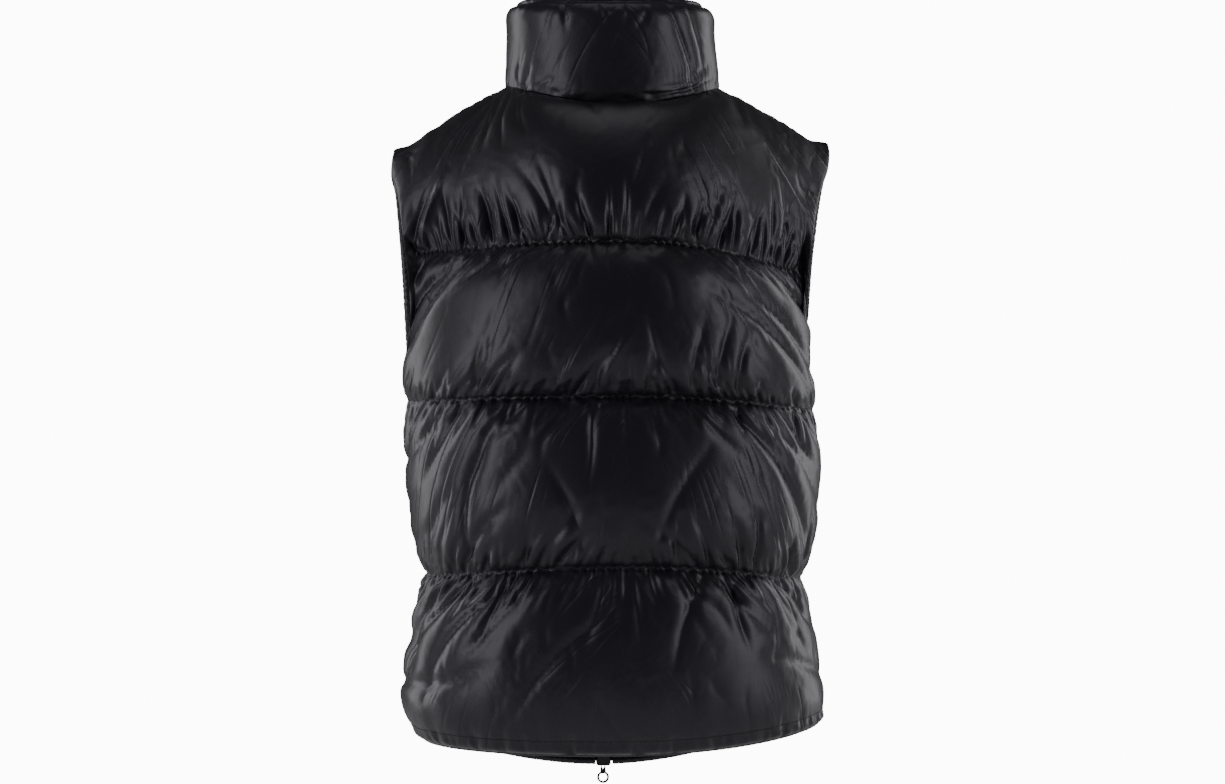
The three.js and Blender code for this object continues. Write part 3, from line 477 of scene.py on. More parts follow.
# The pleats that stitching draws in, for each stitch line and each side of it (1 above, -1
# below). In mm: pitch is from one pleat to the next, long their usual length and longest the
# greatest. lean is how far they run outwards for each unit away from the line, deep the share of
# the padding that they take, and middle what is left of that at the centre.
PLEATS = (
    dict(line=3, way=1, lean=.28, pitch=5.3, long=26, longest=60, deep=.42, middle=1),
    dict(line=3, way=-1, lean=.85, pitch=8.4, long=20, longest=56, deep=.30, middle=.05),
    dict(line=2, way=1, lean=-.28, pitch=5.5, long=28, longest=70, deep=.42, middle=.9),
    dict(line=2, way=-1, lean=.55, pitch=6.0, long=32, longest=78, deep=.36, middle=.35),
    dict(line=1, way=1, lean=-.45, pitch=5.5, long=30, longest=70, deep=.42, middle=.8),
    dict(line=1, way=-1, lean=.55, pitch=5.7, long=38, longest=90, deep=.40, middle=.7),
    dict(line=0, way=1, lean=-.4, pitch=9.1, long=10, longest=26, deep=.2, middle=1.5),
    dict(line=4, way=-1, lean=.2, pitch=9.1, long=14, longest=40, deep=.22, middle=.6),
)


def pleated(pleats, base, line, per_channel, seed):
    """The share of the padding taken by pleats. Each is a narrow trough with an exponential
    section that starts at its stitch line, leans and bends outwards, widens a little and runs out
    along its length."""
    share = np.zeros(base.shape[:2])
    for row in pleats:
        here = base[row["line"] * per_channel]
        arc = np.concatenate([[0], np.cumsum(np.linalg.norm(np.diff(here, axis=0), axis=1))])
        arc -= np.interp(0, here[:, 0] * np.sign(here[-1, 0] - here[0, 0]), arc)
        numbers = np.random.default_rng(seed + 10 * row["line"] + row["way"])
        count = int((arc[-1] - arc[0]) / row["pitch"] * 1000)
        at = arc[0] + (np.arange(count) + .5 + .3 * numbers.standard_normal(count)) * (
            row["pitch"] / 1000)
        long = np.clip(row["long"] * np.exp(.5 * numbers.standard_normal(count)), 5,
                       row["longest"]) / 1000
        lean = row["lean"] + .22 * numbers.standard_normal(count)
        deep = row["deep"] * np.clip(1 + .4 * numbers.standard_normal(count), .3, 1.6)
        wide = .0016 * np.clip(1 + .25 * numbers.standard_normal(count), .7, 1.6)
        away = (line - row["line"]) * row["way"] * CHANNEL_TALL
        rows = np.nonzero((away > 0) & (away < row["longest"] / 1000))[0]
        a = away[rows][:, None]
        step = np.abs(np.gradient(away))[rows][:, None]
        for k in range(count):
            outwards = np.clip(at[k] / .05, -1, 1)
            centre = at[k] + outwards * lean[k] * a * (1 + a / .12)
            width = np.hypot(wide[k] * (1 + 16 * a), 1.1 * step * abs(lean[k]) * (1 + a / .06))
            trough = np.exp(-np.hypot(arc[None] - centre, .0005) / width)
            fade = np.clip(1 - a / long[k], 0, 1) ** .8 * np.clip(a / .002, 0, 1)
            middle = row["middle"] + (1 - row["middle"]) * min(abs(at[k]) / .11, 1)
            share[rows] += deep[k] * middle * trough * fade
    return np.clip(share, 0, .6)


def crimped(arc_steps, line, seed):
    """How the stitch lines themselves waver: sines with an uneven pitch of about a pleat, dying
    off within a few millimetres of each line."""
    total = np.zeros((len(line), len(arc_steps)))
    for n in range(1, 4):
        phase = np.cumsum(arc_steps * (1 + .3 * uneven(seed + n, len(arc_steps), 5))) / .0095
        away = (line - n)[:, None] * CHANNEL_TALL
        total += np.sin(2 * math.pi * phase)[None] * np.exp(-(away / .0035) ** 2)
    return total


def quilted_piece(panel, s0, s1, columns, sim_columns, seed, creases, pleats, cut_sizes):
    """A panel's outer points and lining points. Its start is the lining moved out by its padding,
    less half the creases and plus a soft unevenness beside each stitch line; its cut is the lining
    moved out to a full crown all over. What the cloth settles to is then pulled most of the way
    back to the start's broad shape, so only its folds stay, and gets its creases and pleats."""
    s = np.linspace(s0, s1, sim_columns + 1)
    line = quilted_rows(SIM_ROWS)
    base = lining(panel, s, line)
    out = thickness_way(panel, base, s, line)
    padded = STITCHED + (crown_height(panel, s, line) - STITCHED) * swelling(panel, s, line)
    if panel == "front":
        padded += .0016 * (1 - rises_from(np.abs(s) * .21, .012))[None]
    padded += .0042 * np.exp(-(line * CHANNEL_TALL / .005) ** 2)[:, None]
    at_armhole = smooth((line - 2) / .15)[:, None] * np.exp(-((1 - np.abs(s)) * .27 / .013) ** 2)
    padded += .0072 * at_armhole
    plain = base + out * padded[..., None]
    step = np.linalg.norm(np.diff(base[SIM_ROWS], axis=0), axis=1).mean()
    near_neck = smooth((line - 3.02) / .3) * smooth((4 - line) / .10)
    even = blur(plain, 0, .030 / step) - plain
    plain = plain + even * (near_neck[:, None] * np.clip((1 - np.abs(s)) / .2, 0, 1)
                            )[..., None]
    shown = plain
    u = column_angle(panel, s, np.full_like(s, 1.0))
    crown = cut_sizes["middle"] * np.cos(u) ** 2 + cut_sizes["side"] * np.sin(u) ** 2
    full = base[:1] + cut_sizes["longer"] * (base - base[:1])
    cut = full + unit(blur(out, 0, 4)) * crown[None, :, None]
    soft = np.zeros_like(padded)
    for n in range(5):
        away = (line - n)[:, None] * CHANNEL_TALL
        for way in (-1, 1):
            small = uneven(seed + n + way, len(s), .003 / step)
            large = uneven(seed + 50 + n + way, len(s), .008 / step)
            near = np.abs(away)
            soft += np.where(away * way >= 0,
                             small[None] * np.exp(-(near / .012) ** 2) * np.clip(near / .004, 0, 1)
                             + large[None] * np.exp(-(near / .035) ** 2)
                             * np.clip(near / .008, 0, 1), 0)
    rise = np.clip((padded - STITCHED) / .008, 0, 1)
    start = plain + out * ((.0012 * soft - .5 * creased(creases, base)) * rise)[..., None]
    sewn = np.zeros(padded.shape, bool)
    sewn[::SIM_ROWS] = sewn[:, 0] = sewn[:, -1] = True
    settled = blown_up(panel + "_shell", start, cut, sewn)
    moved = settled - plain
    broad = blur(moved, 7, .022 / step) * rise[..., None]
    shown = plain + (moved - broad * .9) * .85
    sunk = np.sum((shown - base) * out, -1)
    shown += out * np.clip(STITCHED * .8 - sunk, 0, None)[..., None]
    rows = 4 * SHOWN_ROWS + 1
    shown = finer_rows(shown, SIM_ROWS, SHOWN_ROWS, columns + 1)
    out = unit(finer_rows(out, SIM_ROWS, SHOWN_ROWS, columns + 1))
    base = finer_rows(base, SIM_ROWS, SHOWN_ROWS, columns + 1)
    line = quilted_rows(SHOWN_ROWS)
    s = np.linspace(s0, s1, columns + 1)
    inside = rises_from((1 - np.abs(s)) * .27, .012)
    if panel == "front":
        inside = inside * rises_from(np.abs(s) * .21, .008)
    thick = np.clip(np.sum((shown - base) * out, -1), 0, .018)
    taken = pleated(pleats, base, line, SHOWN_ROWS, seed) * thick
    folds = creased(creases, base) * smooth(thick / .008)
    shown -= out * (blur(taken + 1.2 * folds, .45, .8) * inside[None])[..., None]
    steps = np.gradient(np.cumsum(np.linalg.norm(np.gradient(base[SHOWN_ROWS], axis=0), axis=1)))
    waver = crimped(steps, line, seed) * inside[None]
    shown += out * (waver * .0006)[..., None]
    shown[..., 2] += waver * .0010
    # The padding rolls over the edges' elastic: off the panel round an armhole, most of all just
    # below the shoulder's tip, and down at the hem, with a shallow line at the hem's seam.
    sideways = unit(np.gradient(base, axis=1)) * np.sign(s)[None, :, None]
    over = np.exp(-((1 - np.abs(s)) * .27 / .006) ** 2)[None] * smooth((line - 2.02) / .2)[:, None]
    over = over * (OVER_ARMHOLE * smooth((4.04 - line) / .14)
                   + OVER_TIP * np.exp(-((3.78 - line) / .14) ** 2))[:, None]
    shown += sideways * over[..., None]
    shown[..., 2] -= OVER_HEM * np.exp(-(line / .05) ** 2)[:, None]
    shown -= out * (HEM_LINE_DEEP * np.exp(-((line - .062) / .012) ** 2))[:, None, None]
    mask = np.clip(np.exp(-(np.abs(line - np.round(line)) * CHANNEL_TALL / .02) ** 2), 0, 1)
    mask = np.broadcast_to(mask[:, None], (rows, columns + 1))
    return shown, base, mask


def closed_wall(name, outer, inner, mask, coarse=4):
    """One closed padded wall: the outer grid, a lining grid with every fourth point, and rims
    that join each four outer edges to one lining edge. Faces of the lining get material 1."""
    rows, columns = outer.shape[:2]
    plain = inner[::coarse, ::coarse]
    o = np.arange(rows * columns).reshape(rows, columns)
    i = np.arange(plain.shape[0] * plain.shape[1]).reshape(plain.shape[:2]) + o.size
    faces = [q.reshape(-1, 4) for q in (
        np.stack([o[:-1, :-1], o[:-1, 1:], o[1:, 1:], o[1:, :-1]], -1),
        np.stack([i[:-1, :-1], i[1:, :-1], i[1:, 1:], i[:-1, 1:]], -1))]
    for fine, plain_edge in ((o[0], i[0]), (o[-1], i[-1]), (o[:, 0], i[:, 0]), (o[:, -1], i[:, -1])):
        steps = len(plain_edge) - 1
        spans = [fine[k:k + steps * coarse:coarse] for k in range(coarse)] + [fine[coarse::coarse]]
        faces.append(np.stack(spans + [plain_edge[1:], plain_edge[:-1]], -1))
    mesh = bpy.data.meshes.new(name)
    points = np.concatenate([outer.reshape(-1, 3), plain.reshape(-1, 3)])
    mesh.from_pydata(points.tolist(), [], [f for part in faces for f in part.tolist()])
    lined = np.zeros(len(mesh.polygons), np.int32)
    lined[len(faces[0]):len(faces[0]) + len(faces[1])] = 1
    mesh.polygons.foreach_set("material_index", lined)
    near = mesh.attributes.new("gathered", "FLOAT", "POINT")
    near.data.foreach_set("value", np.concatenate([mask.reshape(-1), np.zeros(plain.size // 3)])
                          .astype(np.float32))
    work = bmesh.new()
    work.from_mesh(mesh)
    bmesh.ops.recalc_face_normals(work, faces=work.faces)
    work.to_mesh(mesh)
    work.free()
    mesh.shade_smooth()
    piece = bpy.data.objects.new(name, mesh)
    bpy.context.scene.collection.objects.link(piece)
    return piece


def node_group(name, inputs, outputs):
    """A shader node group with named inputs, each with its default, and named outputs."""
    group = bpy.data.node_groups.new(name, "ShaderNodeTree")
    for label, kind, value in inputs:
        socket = group.interface.new_socket(label, in_out="INPUT", socket_type=kind)
        if value is not None:
            socket.default_value = value
    for label, kind in outputs:
        group.interface.new_socket(label, in_out="OUTPUT", socket_type=kind)
    return group, group.nodes.new("NodeGroupInput"), group.nodes.new("NodeGroupOutput")


def math_node(tree, operation, a, b=None, clamp=False):
    """A Math node on sockets or plain numbers."""
    node = tree.nodes.new("ShaderNodeMath")
    node.operation, node.use_clamp = operation, clamp
    for socket, value in zip(node.inputs, (a, b)):
        if isinstance(value, (int, float)):
            socket.default_value = value
        elif value is not None:
            tree.links.new(value, socket)
    return node.outputs[0]


# Crumple: the small irregular creases that calendered nylon keeps, as a height. Two ridged
# noises of different grain, stretched by a wandering one so that they don't line up.
crumple, taken, given = node_group("crumple", [
    ("Vector", "NodeSocketVector", None), ("Grain", "NodeSocketFloat", 55.0),
    ("Detail", "NodeSocketFloat", 3.0)], [("Height", "NodeSocketFloat")])
wander = crumple.nodes.new("ShaderNodeTexNoise")
wander.inputs["Scale"].default_value = 9
crumple.links.new(taken.outputs["Vector"], wander.inputs["Vector"])
bent = crumple.nodes.new("ShaderNodeVectorMath")
bent.operation = "MULTIPLY_ADD"
bent.inputs[1].default_value = (.09, .09, .05)
crumple.links.new(wander.outputs["Color"], bent.inputs[0])
crumple.links.new(taken.outputs["Vector"], bent.inputs[2])
ridges = crumple.nodes.new("ShaderNodeTexNoise")
ridges.noise_type = "RIDGED_MULTIFRACTAL"
ridges.inputs["Roughness"].default_value = .55
crumple.links.new(bent.outputs[0], ridges.inputs["Vector"])
crumple.links.new(taken.outputs["Grain"], ridges.inputs["Scale"])
crumple.links.new(taken.outputs["Detail"], ridges.inputs["Detail"])
soft_noise = crumple.nodes.new("ShaderNodeTexNoise")
crumple.links.new(bent.outputs[0], soft_noise.inputs["Vector"])
crumple.links.new(math_node(crumple, "MULTIPLY", taken.outputs["Grain"], .45),
                  soft_noise.inputs["Scale"])
crumple.links.new(math_node(crumple, "ADD",
                            math_node(crumple, "MULTIPLY", ridges.outputs["Fac"], .35),
                            soft_noise.outputs["Fac"]), given.inputs["Height"])

# Drawn: long thin creases that run outwards and down from the middle, as a height. A noise is
# stretched along u = |x| - 0.8 |y| + 0.55 z, bent by a wandering one, and kept where it passes its
# middle value, in patches.
drawn, taken, given = node_group("drawn", [
    ("Vector", "NodeSocketVector", None), ("Slope", "NodeSocketFloat", .55)],
    [("Height", "NodeSocketFloat")])
parts = drawn.nodes.new("ShaderNodeSeparateXYZ")
drawn.links.new(taken.outputs["Vector"], parts.inputs[0])
wander = drawn.nodes.new("ShaderNodeTexNoise")
wander.inputs["Scale"].default_value = 5
wander.inputs["Detail"].default_value = 0
drawn.links.new(taken.outputs["Vector"], wander.inputs["Vector"])
off_middle = math_node(drawn, "SUBTRACT", math_node(drawn, "ABSOLUTE", parts.outputs["X"]),
                       math_node(drawn, "MULTIPLY",
                                 math_node(drawn, "ABSOLUTE", parts.outputs["Y"]), .8))
sloping = math_node(drawn, "ADD", off_middle,
                    math_node(drawn, "MULTIPLY", parts.outputs["Z"], taken.outputs["Slope"]))
sloping = math_node(drawn, "ADD", sloping, math_node(drawn, "MULTIPLY", wander.outputs["Fac"], .10))
stretched = drawn.nodes.new("ShaderNodeCombineXYZ")
for socket, value, times in zip(stretched.inputs, (sloping, parts.outputs["Z"], parts.outputs["X"]),
                                (62.0, 5.0, 14.0)):
    drawn.links.new(math_node(drawn, "MULTIPLY", value, times), socket)
lines = drawn.nodes.new("ShaderNodeTexNoise")
lines.inputs["Scale"].default_value = 1
lines.inputs["Detail"].default_value = 0
drawn.links.new(stretched.outputs[0], lines.inputs["Vector"])
off_line = math_node(drawn, "ABSOLUTE", math_node(drawn, "SUBTRACT", lines.outputs["Fac"], .5))
sharp = math_node(drawn, "SUBTRACT", 1.0, math_node(drawn, "MULTIPLY", off_line, 9.0, clamp=True))
patch = drawn.nodes.new("ShaderNodeTexNoise")
patch.inputs["Scale"].default_value = 13
drawn.links.new(taken.outputs["Vector"], patch.inputs["Vector"])
where = drawn.nodes.new("ShaderNodeMapRange")
where.inputs["From Min"].default_value = .48
where.inputs["From Max"].default_value = .64
drawn.links.new(patch.outputs["Fac"], where.inputs["Value"])
drawn.links.new(math_node(drawn, "MULTIPLY", math_node(drawn, "POWER", sharp, 1.6),
                          where.outputs[0]), given.inputs["Height"])

# Weave: plain weave as the product of two sine bands across each other.
weave, taken, given = node_group("weave", [
    ("Vector", "NodeSocketVector", None), ("Threads per metre", "NodeSocketFloat", 3200.0)],
    [("Height", "NodeSocketFloat")])
bands = []
for turned_by in ("X", "Z"):
    band = weave.nodes.new("ShaderNodeTexWave")
    band.wave_type, band.bands_direction, band.wave_profile = "BANDS", turned_by, "SIN"
    weave.links.new(taken.outputs["Vector"], band.inputs["Vector"])
    weave.links.new(math_node(weave, "DIVIDE", taken.outputs["Threads per metre"], 20.0),
                    band.inputs["Scale"])
    bands.append(band.outputs["Fac"])
weave.links.new(math_node(weave, "MULTIPLY", *bands), given.inputs["Height"])


def nylon(name, colour, roughness, crease, tight):
    """Down-proof nylon: colour that shifts a little over the surface, a roughness that rises on
    rubbed places, and a bump of crumple, stronger beside the stitching, over weave."""
    material = bpy.data.materials.new(name)
    material.use_nodes = True
    tree = material.node_tree
    shader = tree.nodes["Principled BSDF"]
    place = tree.nodes.new("ShaderNodeTexCoord").outputs["Object"]
    shader.inputs["IOR"].default_value = 1.5
    shader.inputs["Specular IOR Level"].default_value = .5
    shader.inputs["Specular Tint"].default_value = (.92, .91, 1, 1)

    patches = tree.nodes.new("ShaderNodeTexNoise")
    patches.inputs["Scale"].default_value = 14
    patches.inputs["Detail"].default_value = 4
    tree.links.new(place, patches.inputs["Vector"])
    tint = tree.nodes.new("ShaderNodeMapRange")
    tint.inputs["To Min"].default_value = .75
    tint.inputs["To Max"].default_value = 1.25
    tree.links.new(patches.outputs["Fac"], tint.inputs["Value"])
    shade = tree.nodes.new("ShaderNodeMix")
    shade.data_type, shade.blend_type = "RGBA", "MULTIPLY"
    shade.inputs["Factor"].default_value = 1
    shade.inputs["A"].default_value = (*colour, 1)
    tree.links.new(tint.outputs[0], shade.inputs["B"])
    tree.links.new(shade.outputs["Result"], shader.inputs["Base Color"])

    folds = tree.nodes.new("ShaderNodeGroup")
    folds.node_tree = crumple
    folds.inputs["Grain"].default_value = 60
    tree.links.new(place, folds.inputs["Vector"])
    near = tree.nodes.new("ShaderNodeAttribute")
    near.attribute_name = "gathered"
    strength = math_node(tree, "ADD", crease, math_node(tree, "MULTIPLY", near.outputs["Fac"], tight))
    threads = tree.nodes.new("ShaderNodeGroup")
    threads.node_tree = weave
    tree.links.new(place, threads.inputs["Vector"])
    height = math_node(tree, "ADD", math_node(tree, "MULTIPLY", folds.outputs["Height"], strength),
                       math_node(tree, "MULTIPLY", threads.outputs["Height"], .015))
    long_folds = tree.nodes.new("ShaderNodeGroup")
    long_folds.node_tree = drawn
    tree.links.new(place, long_folds.inputs["Vector"])
    height = math_node(tree, "SUBTRACT", height, math_node(
        tree, "MULTIPLY", long_folds.outputs["Height"], .36 * crease))
    bump = tree.nodes.new("ShaderNodeBump")
    bump.inputs["Distance"].default_value = .001
    tree.links.new(height, bump.inputs["Height"])
    tree.links.new(bump.outputs["Normal"], shader.inputs["Normal"])

    rubbed = tree.nodes.new("ShaderNodeMapRange")
    rubbed.inputs["To Min"].default_value = roughness - .05
    rubbed.inputs["To Max"].default_value = roughness + .07
    tree.links.new(patches.outputs["Fac"], rubbed.inputs["Value"])
    tree.links.new(rubbed.outputs[0], shader.inputs["Roughness"])
    return material


shell_nylon = nylon("shell_nylon", (.0105, .0100, .0145), .37, 1.2, 1.0)
lining_nylon = nylon("lining_nylon", (.012, .012, .013), .48, .6, 0)


def finish_padded(piece, fill, *nodes):
    """Gives a padded piece its cloths and its place in the jacket."""
    piece.data.materials.append(shell_nylon)
    piece.data.materials.append(lining_nylon)
    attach(piece, "vest")
    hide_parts(*nodes)


TO_SEAM = 1 - SEAM_GAP / 2 / .27
BACK_CUT = dict(middle=.036, side=.022, longer=1.09)
BACK_COLUMNS, BACK_SIM_COLUMNS = 480, 288
back_outer, back_lining, back_mask = quilted_piece(
    "back", -TO_SEAM, TO_SEAM, BACK_COLUMNS, BACK_SIM_COLUMNS, 7,
    BACK_CREASES + strewn_creases(17, 170), PLEATS, BACK_CUT)
back_panel = closed_wall("back_shell", back_outer, back_lining, back_mask)
finish_padded(back_panel, .7, "back_panel")

# ---------------------------------------------------------------- fronts
# Two fronts of the same nylon and down, quilted level with the back and turned in at the zip.

FRONT_CREASES = (
    dict(x0=96, z0=-330, x1=150, z1=-456, bow=-9, wide=8, deep=4.8),
    dict(x0=60, z0=-322, x1=70, z1=-392, bow=4, wide=6, deep=3.6),
    dict(x0=128, z0=-324, x1=176, z1=-400, bow=-6, wide=6, deep=4.4),
    dict(x0=36, z0=-400, x1=52, z1=-476, bow=4, wide=6, deep=3.2),
    dict(x0=-88, z0=-330, x1=-130, z1=-462, bow=9, wide=8, deep=4.8),
    dict(x0=-52, z0=-324, x1=-58, z1=-384, bow=4, wide=6, deep=3.4),
    dict(x0=-122, z0=-324, x1=-172, z1=-396, bow=6, wide=6, deep=4.4),
    dict(x0=-30, z0=-410, x1=-46, z1=-478, bow=4, wide=6, deep=3.0),
    dict(x0=120, z0=-492, x1=172, z1=-592, bow=-11, wide=7, deep=4.8),
    dict(x0=92, z0=-490, x1=120, z1=-580, bow=-8, wide=7, deep=4.2),
    dict(x0=50, z0=-490, x1=60, z1=-560, bow=4, wide=6, deep=3.2),
    dict(x0=-124, z0=-494, x1=-174, z1=-584, bow=10, wide=7, deep=4.6),
    dict(x0=-84, z0=-490, x1=-104, z1=-572, bow=7, wide=6, deep=3.8),
    dict(x0=-42, z0=-490, x1=-50, z1=-556, bow=-4, wide=6, deep=3.0),
    dict(x0=120, z0=-186, x1=190, z1=-268, bow=-8, wide=6, deep=4.2),
    dict(x0=70, z0=-184, x1=96, z1=-240, bow=-5, wide=6, deep=3.2),
    dict(x0=34, z0=-306, x1=30, z1=-250, bow=3, wide=5, deep=3.0),
    dict(x0=-116, z0=-190, x1=-184, z1=-272, bow=8, wide=6, deep=4.2),
    dict(x0=-66, z0=-186, x1=-94, z1=-246, bow=5, wide=6, deep=3.2),
    dict(x0=-38, z0=-308, x1=-32, z1=-252, bow=3, wide=5, deep=3.0),
    dict(x0=150, z0=-178, x1=160, z1=-120, bow=4, wide=6, deep=3.2),
    dict(x0=90, z0=-178, x1=84, z1=-124, bow=-4, wide=6, deep=3.0),
    dict(x0=-146, z0=-182, x1=-160, z1=-124, bow=-4, wide=6, deep=3.2),
    dict(x0=-84, z0=-180, x1=-78, z1=-128, bow=4, wide=6, deep=3.0),
)
FRONT_CUT = dict(middle=.032, side=.021, longer=1.07)
front_edges = {}
for label, s0, s1, seed in (("left", .0001, TO_SEAM, 211), ("right", -TO_SEAM, -.0001, 307)):
    outer, base, mask = quilted_piece(
        "front", s0, s1, BACK_COLUMNS // 2, BACK_SIM_COLUMNS // 2, seed,
        FRONT_CREASES + strewn_creases(seed, 140), PLEATS, FRONT_CUT)
    front_edges[label] = (outer, base)
    front = closed_wall("front_shell_" + label, outer, base, mask)
    finish_padded(front, .7, "front_" + label)

# ---------------------------------------------------------------- collar
# One tall padded tube of the same nylon, sewn to the neckline and folded over at its top edge,
# with the zip's tapes at its two ends.

COLLAR_RINGS = dict(half=(.104, .081, .083), back=(.082, .068, .068), front=(.084, .072, .068))
COLLAR = dict(z_back=.076, z_side=.079, z_front=.050, crown=.026, top_edge=.009, y=-.005, lean=.005)
COLLAR_END = math.pi - math.asin(ZIP_HALF / .104)
# Its creases, in mm round from the centre back (towards the wearer's left) and up from the seam.
COLLAR_CREASES = (
    dict(x0=-86, z0=6, x1=-58, z1=98, bow=-5, wide=9, deep=4.2),
    dict(x0=-100, z0=30, x1=-84, z1=92, bow=-4, wide=6, deep=2.2),
    dict(x0=52, z0=106, x1=50, z1=76, bow=1, wide=4, deep=3.4),
    dict(x0=60, z0=100, x1=72, z1=66, bow=-3, wide=5, deep=1.8),
    dict(x0=20, z0=106, x1=12, z1=78, bow=2, wide=4, deep=2.2),
    dict(x0=4, z0=106, x1=0, z1=84, bow=-1, wide=3, deep=2.0),
    dict(x0=-14, z0=106, x1=-10, z1=80, bow=2, wide=4, deep=2.2),
    dict(x0=-34, z0=104, x1=-22, z1=76, bow=3, wide=4, deep=1.8),
    dict(x0=-24, z0=8, x1=-118, z1=14, bow=-4, wide=4, deep=3.4),
    dict(x0=-34, z0=16, x1=-104, z1=24, bow=-5, wide=4, deep=2.6),
    dict(x0=-60, z0=22, x1=-120, z1=34, bow=-4, wide=4, deep=1.8),
    dict(x0=104, z0=4, x1=92, z1=34, bow=2, wide=4, deep=2.0),
    dict(x0=116, z0=4, x1=112, z1=40, bow=2, wide=4, deep=2.2),
    dict(x0=84, z0=6, x1=62, z1=22, bow=3, wide=4, deep=2.2),
    dict(x0=150, z0=6, x1=176, z1=70, bow=6, wide=7, deep=3.0),
    dict(x0=196, z0=8, x1=212, z1=52, bow=-4, wide=6, deep=2.6),
    dict(x0=170, z0=104, x1=184, z1=62, bow=4, wide=6, deep=2.4),
    dict(x0=-152, z0=6, x1=-180, z1=66, bow=-6, wide=7, deep=3.0),
    dict(x0=-200, z0=8, x1=-216, z1=50, bow=4, wide=6, deep=2.6),
    dict(x0=-168, z0=104, x1=-188, z1=60, bow=-4, wide=6, deep=2.4),
)


def collar_lining(angle, b):
    """The collar's inner face, rows of b by columns of angle: ellipses whose sizes follow
    parabolas through the seam's, the middle's and the top's, leaning a little as they rise."""
    turn, share = np.meshgrid(angle, b)

    def ring(key):
        return through(*COLLAR_RINGS[key], 2 * share)
    half = ring("half")
    end = math.pi - np.arcsin(ZIP_HALF / half)
    past = (np.abs(turn) - math.pi / 2) / (COLLAR_END - math.pi / 2)
    turn = np.where(np.abs(turn) < math.pi / 2, turn,
                    np.sign(turn) * (math.pi / 2 + (end - math.pi / 2) * past))
    behind = np.cos(turn) > 0
    deep = np.where(behind, ring("back"), ring("front"))
    level = np.cos(turn) ** 2
    low = NECK["z_side"] + (np.where(behind, NECK["z_back"], NECK["z_front"]) - NECK["z_side"]) * level
    high = COLLAR["z_side"] + (np.where(behind, COLLAR["z_back"], COLLAR["z_front"])
                               - COLLAR["z_side"]) * level
    x = half * np.sin(turn) + COLLAR["lean"] * share * np.cos(turn / 2) ** 2
    y = NECK["y"] + (COLLAR["y"] - NECK["y"]) * share + deep * np.cos(turn)
    return np.stack([x, y, low + (high - low) * share], -1), turn


def collar_sheet(angle, rows, over, down):
    """The whole collar as one sheet: rows up its outside, moved off the lining by its padding,
    over rows round its top, and down rows to the seam on its inside."""
    k = np.linspace(0, 1, rows)
    b = k - .35 * np.sin(2 * math.pi * k) / (2 * math.pi)
    inside, turn = collar_lining(angle, b)
    seam_way = unit(np.stack([np.sin(turn), np.cos(turn), 0 * turn + .5], -1))
    level_way = unit(np.stack([np.sin(turn), np.cos(turn), 0 * turn + .04], -1))
    out = unit(seam_way + (level_way - seam_way) * smooth(b / .16)[:, None, None])
    to_top = np.sqrt(1 - (1 - np.clip((1 - b) / .2, 0, 1)) ** 2)
    swell = rises_from(b, .8) * (1 + (to_top - 1) * (1 - COLLAR["top_edge"] / COLLAR["crown"]))
    to_zip = (COLLAR_END - np.abs(angle)) * .09
    full = STITCHED + (COLLAR["crown"] - STITCHED) * swell[:, None] * rises_from(to_zip, .032)[None]
    full = full + .0016 * (1 - rises_from(to_zip, .012))[None]
    outside = inside + out * full[..., None]
    arc = np.linspace(0, math.pi, over + 2)[1:-1]
    middle, half = (outside[-1] + inside[-1]) / 2, (outside[-1] - inside[-1]) / 2
    lift = np.linalg.norm(half, axis=-1, keepdims=True) * np.array([0, 0, 1.0])
    top = (middle[None] + half[None] * np.cos(arc)[:, None, None]
           + lift[None] * np.sin(arc)[:, None, None])
    back_down, _ = collar_lining(angle, np.linspace(1, 0, down))
    return np.concatenate([outside, top, back_down]), out, np.concatenate([b, 1 + arc / 10])


def collar_piece(columns, sim_columns, seed):
    """The collar's sheet with its creases, blown up as the panels are, then made finer."""
    rows, over, down = 34, 7, 12
    angle = np.linspace(-COLLAR_END, COLLAR_END, sim_columns + 1)
    plain, out, b = collar_sheet(angle, rows, over, down)
    step = .5 / sim_columns
    flat = np.stack(np.broadcast_arrays(angle[None] * .105, 0, b[:, None] * .105), -1)
    folds = creased(COLLAR_CREASES, flat)
    way = np.concatenate([out, np.repeat(out[-1:], over, 0)])
    soft = np.zeros_like(folds)
    for n, high in ((0, 1.0), (1, .6)):
        near = np.abs(b - n)[:, None] * .1
        soft += high * (uneven(seed + n, len(angle), .003 / step)[None] * np.exp(-(near / .01) ** 2)
                        + uneven(seed + 7 + n, len(angle), .009 / step)[None]
                        * np.exp(-(near / .025) ** 2)) * np.clip(near / .004, 0, 1)
    ends = rises_from((COLLAR_END - np.abs(angle)) * .09, .02)[None, :, None]
    shaped = plain.copy()
    shaped[:len(b)] += way * (.0009 * soft - .6 * folds)[..., None] * ends
    sewn = np.zeros(plain.shape[:2], bool)
    sewn[0] = sewn[rows + over:] = sewn[:, 0] = sewn[:, -1] = True
    moved = blown_up("collar_shell", shaped, plain * np.array([1.05, 1.05, 1.04]), sewn) - plain
    broad = blur(moved, 6, .025 / step)
    broad[0], broad[rows + over:] = 0, 0
    shaped = plain + (moved - broad * .9 * ends) * .8
    shaped[:len(b)] -= way * (.7 * folds)[..., None] * ends
    outer = finer(shaped, (len(plain) - 1) * 3 // 2 + 1, columns + 1)
    rows_at = np.linspace(0, len(plain) - 1, len(outer))
    share = np.interp(rows_at, np.arange(len(b)), b)
    return outer, share, rows_at < rows


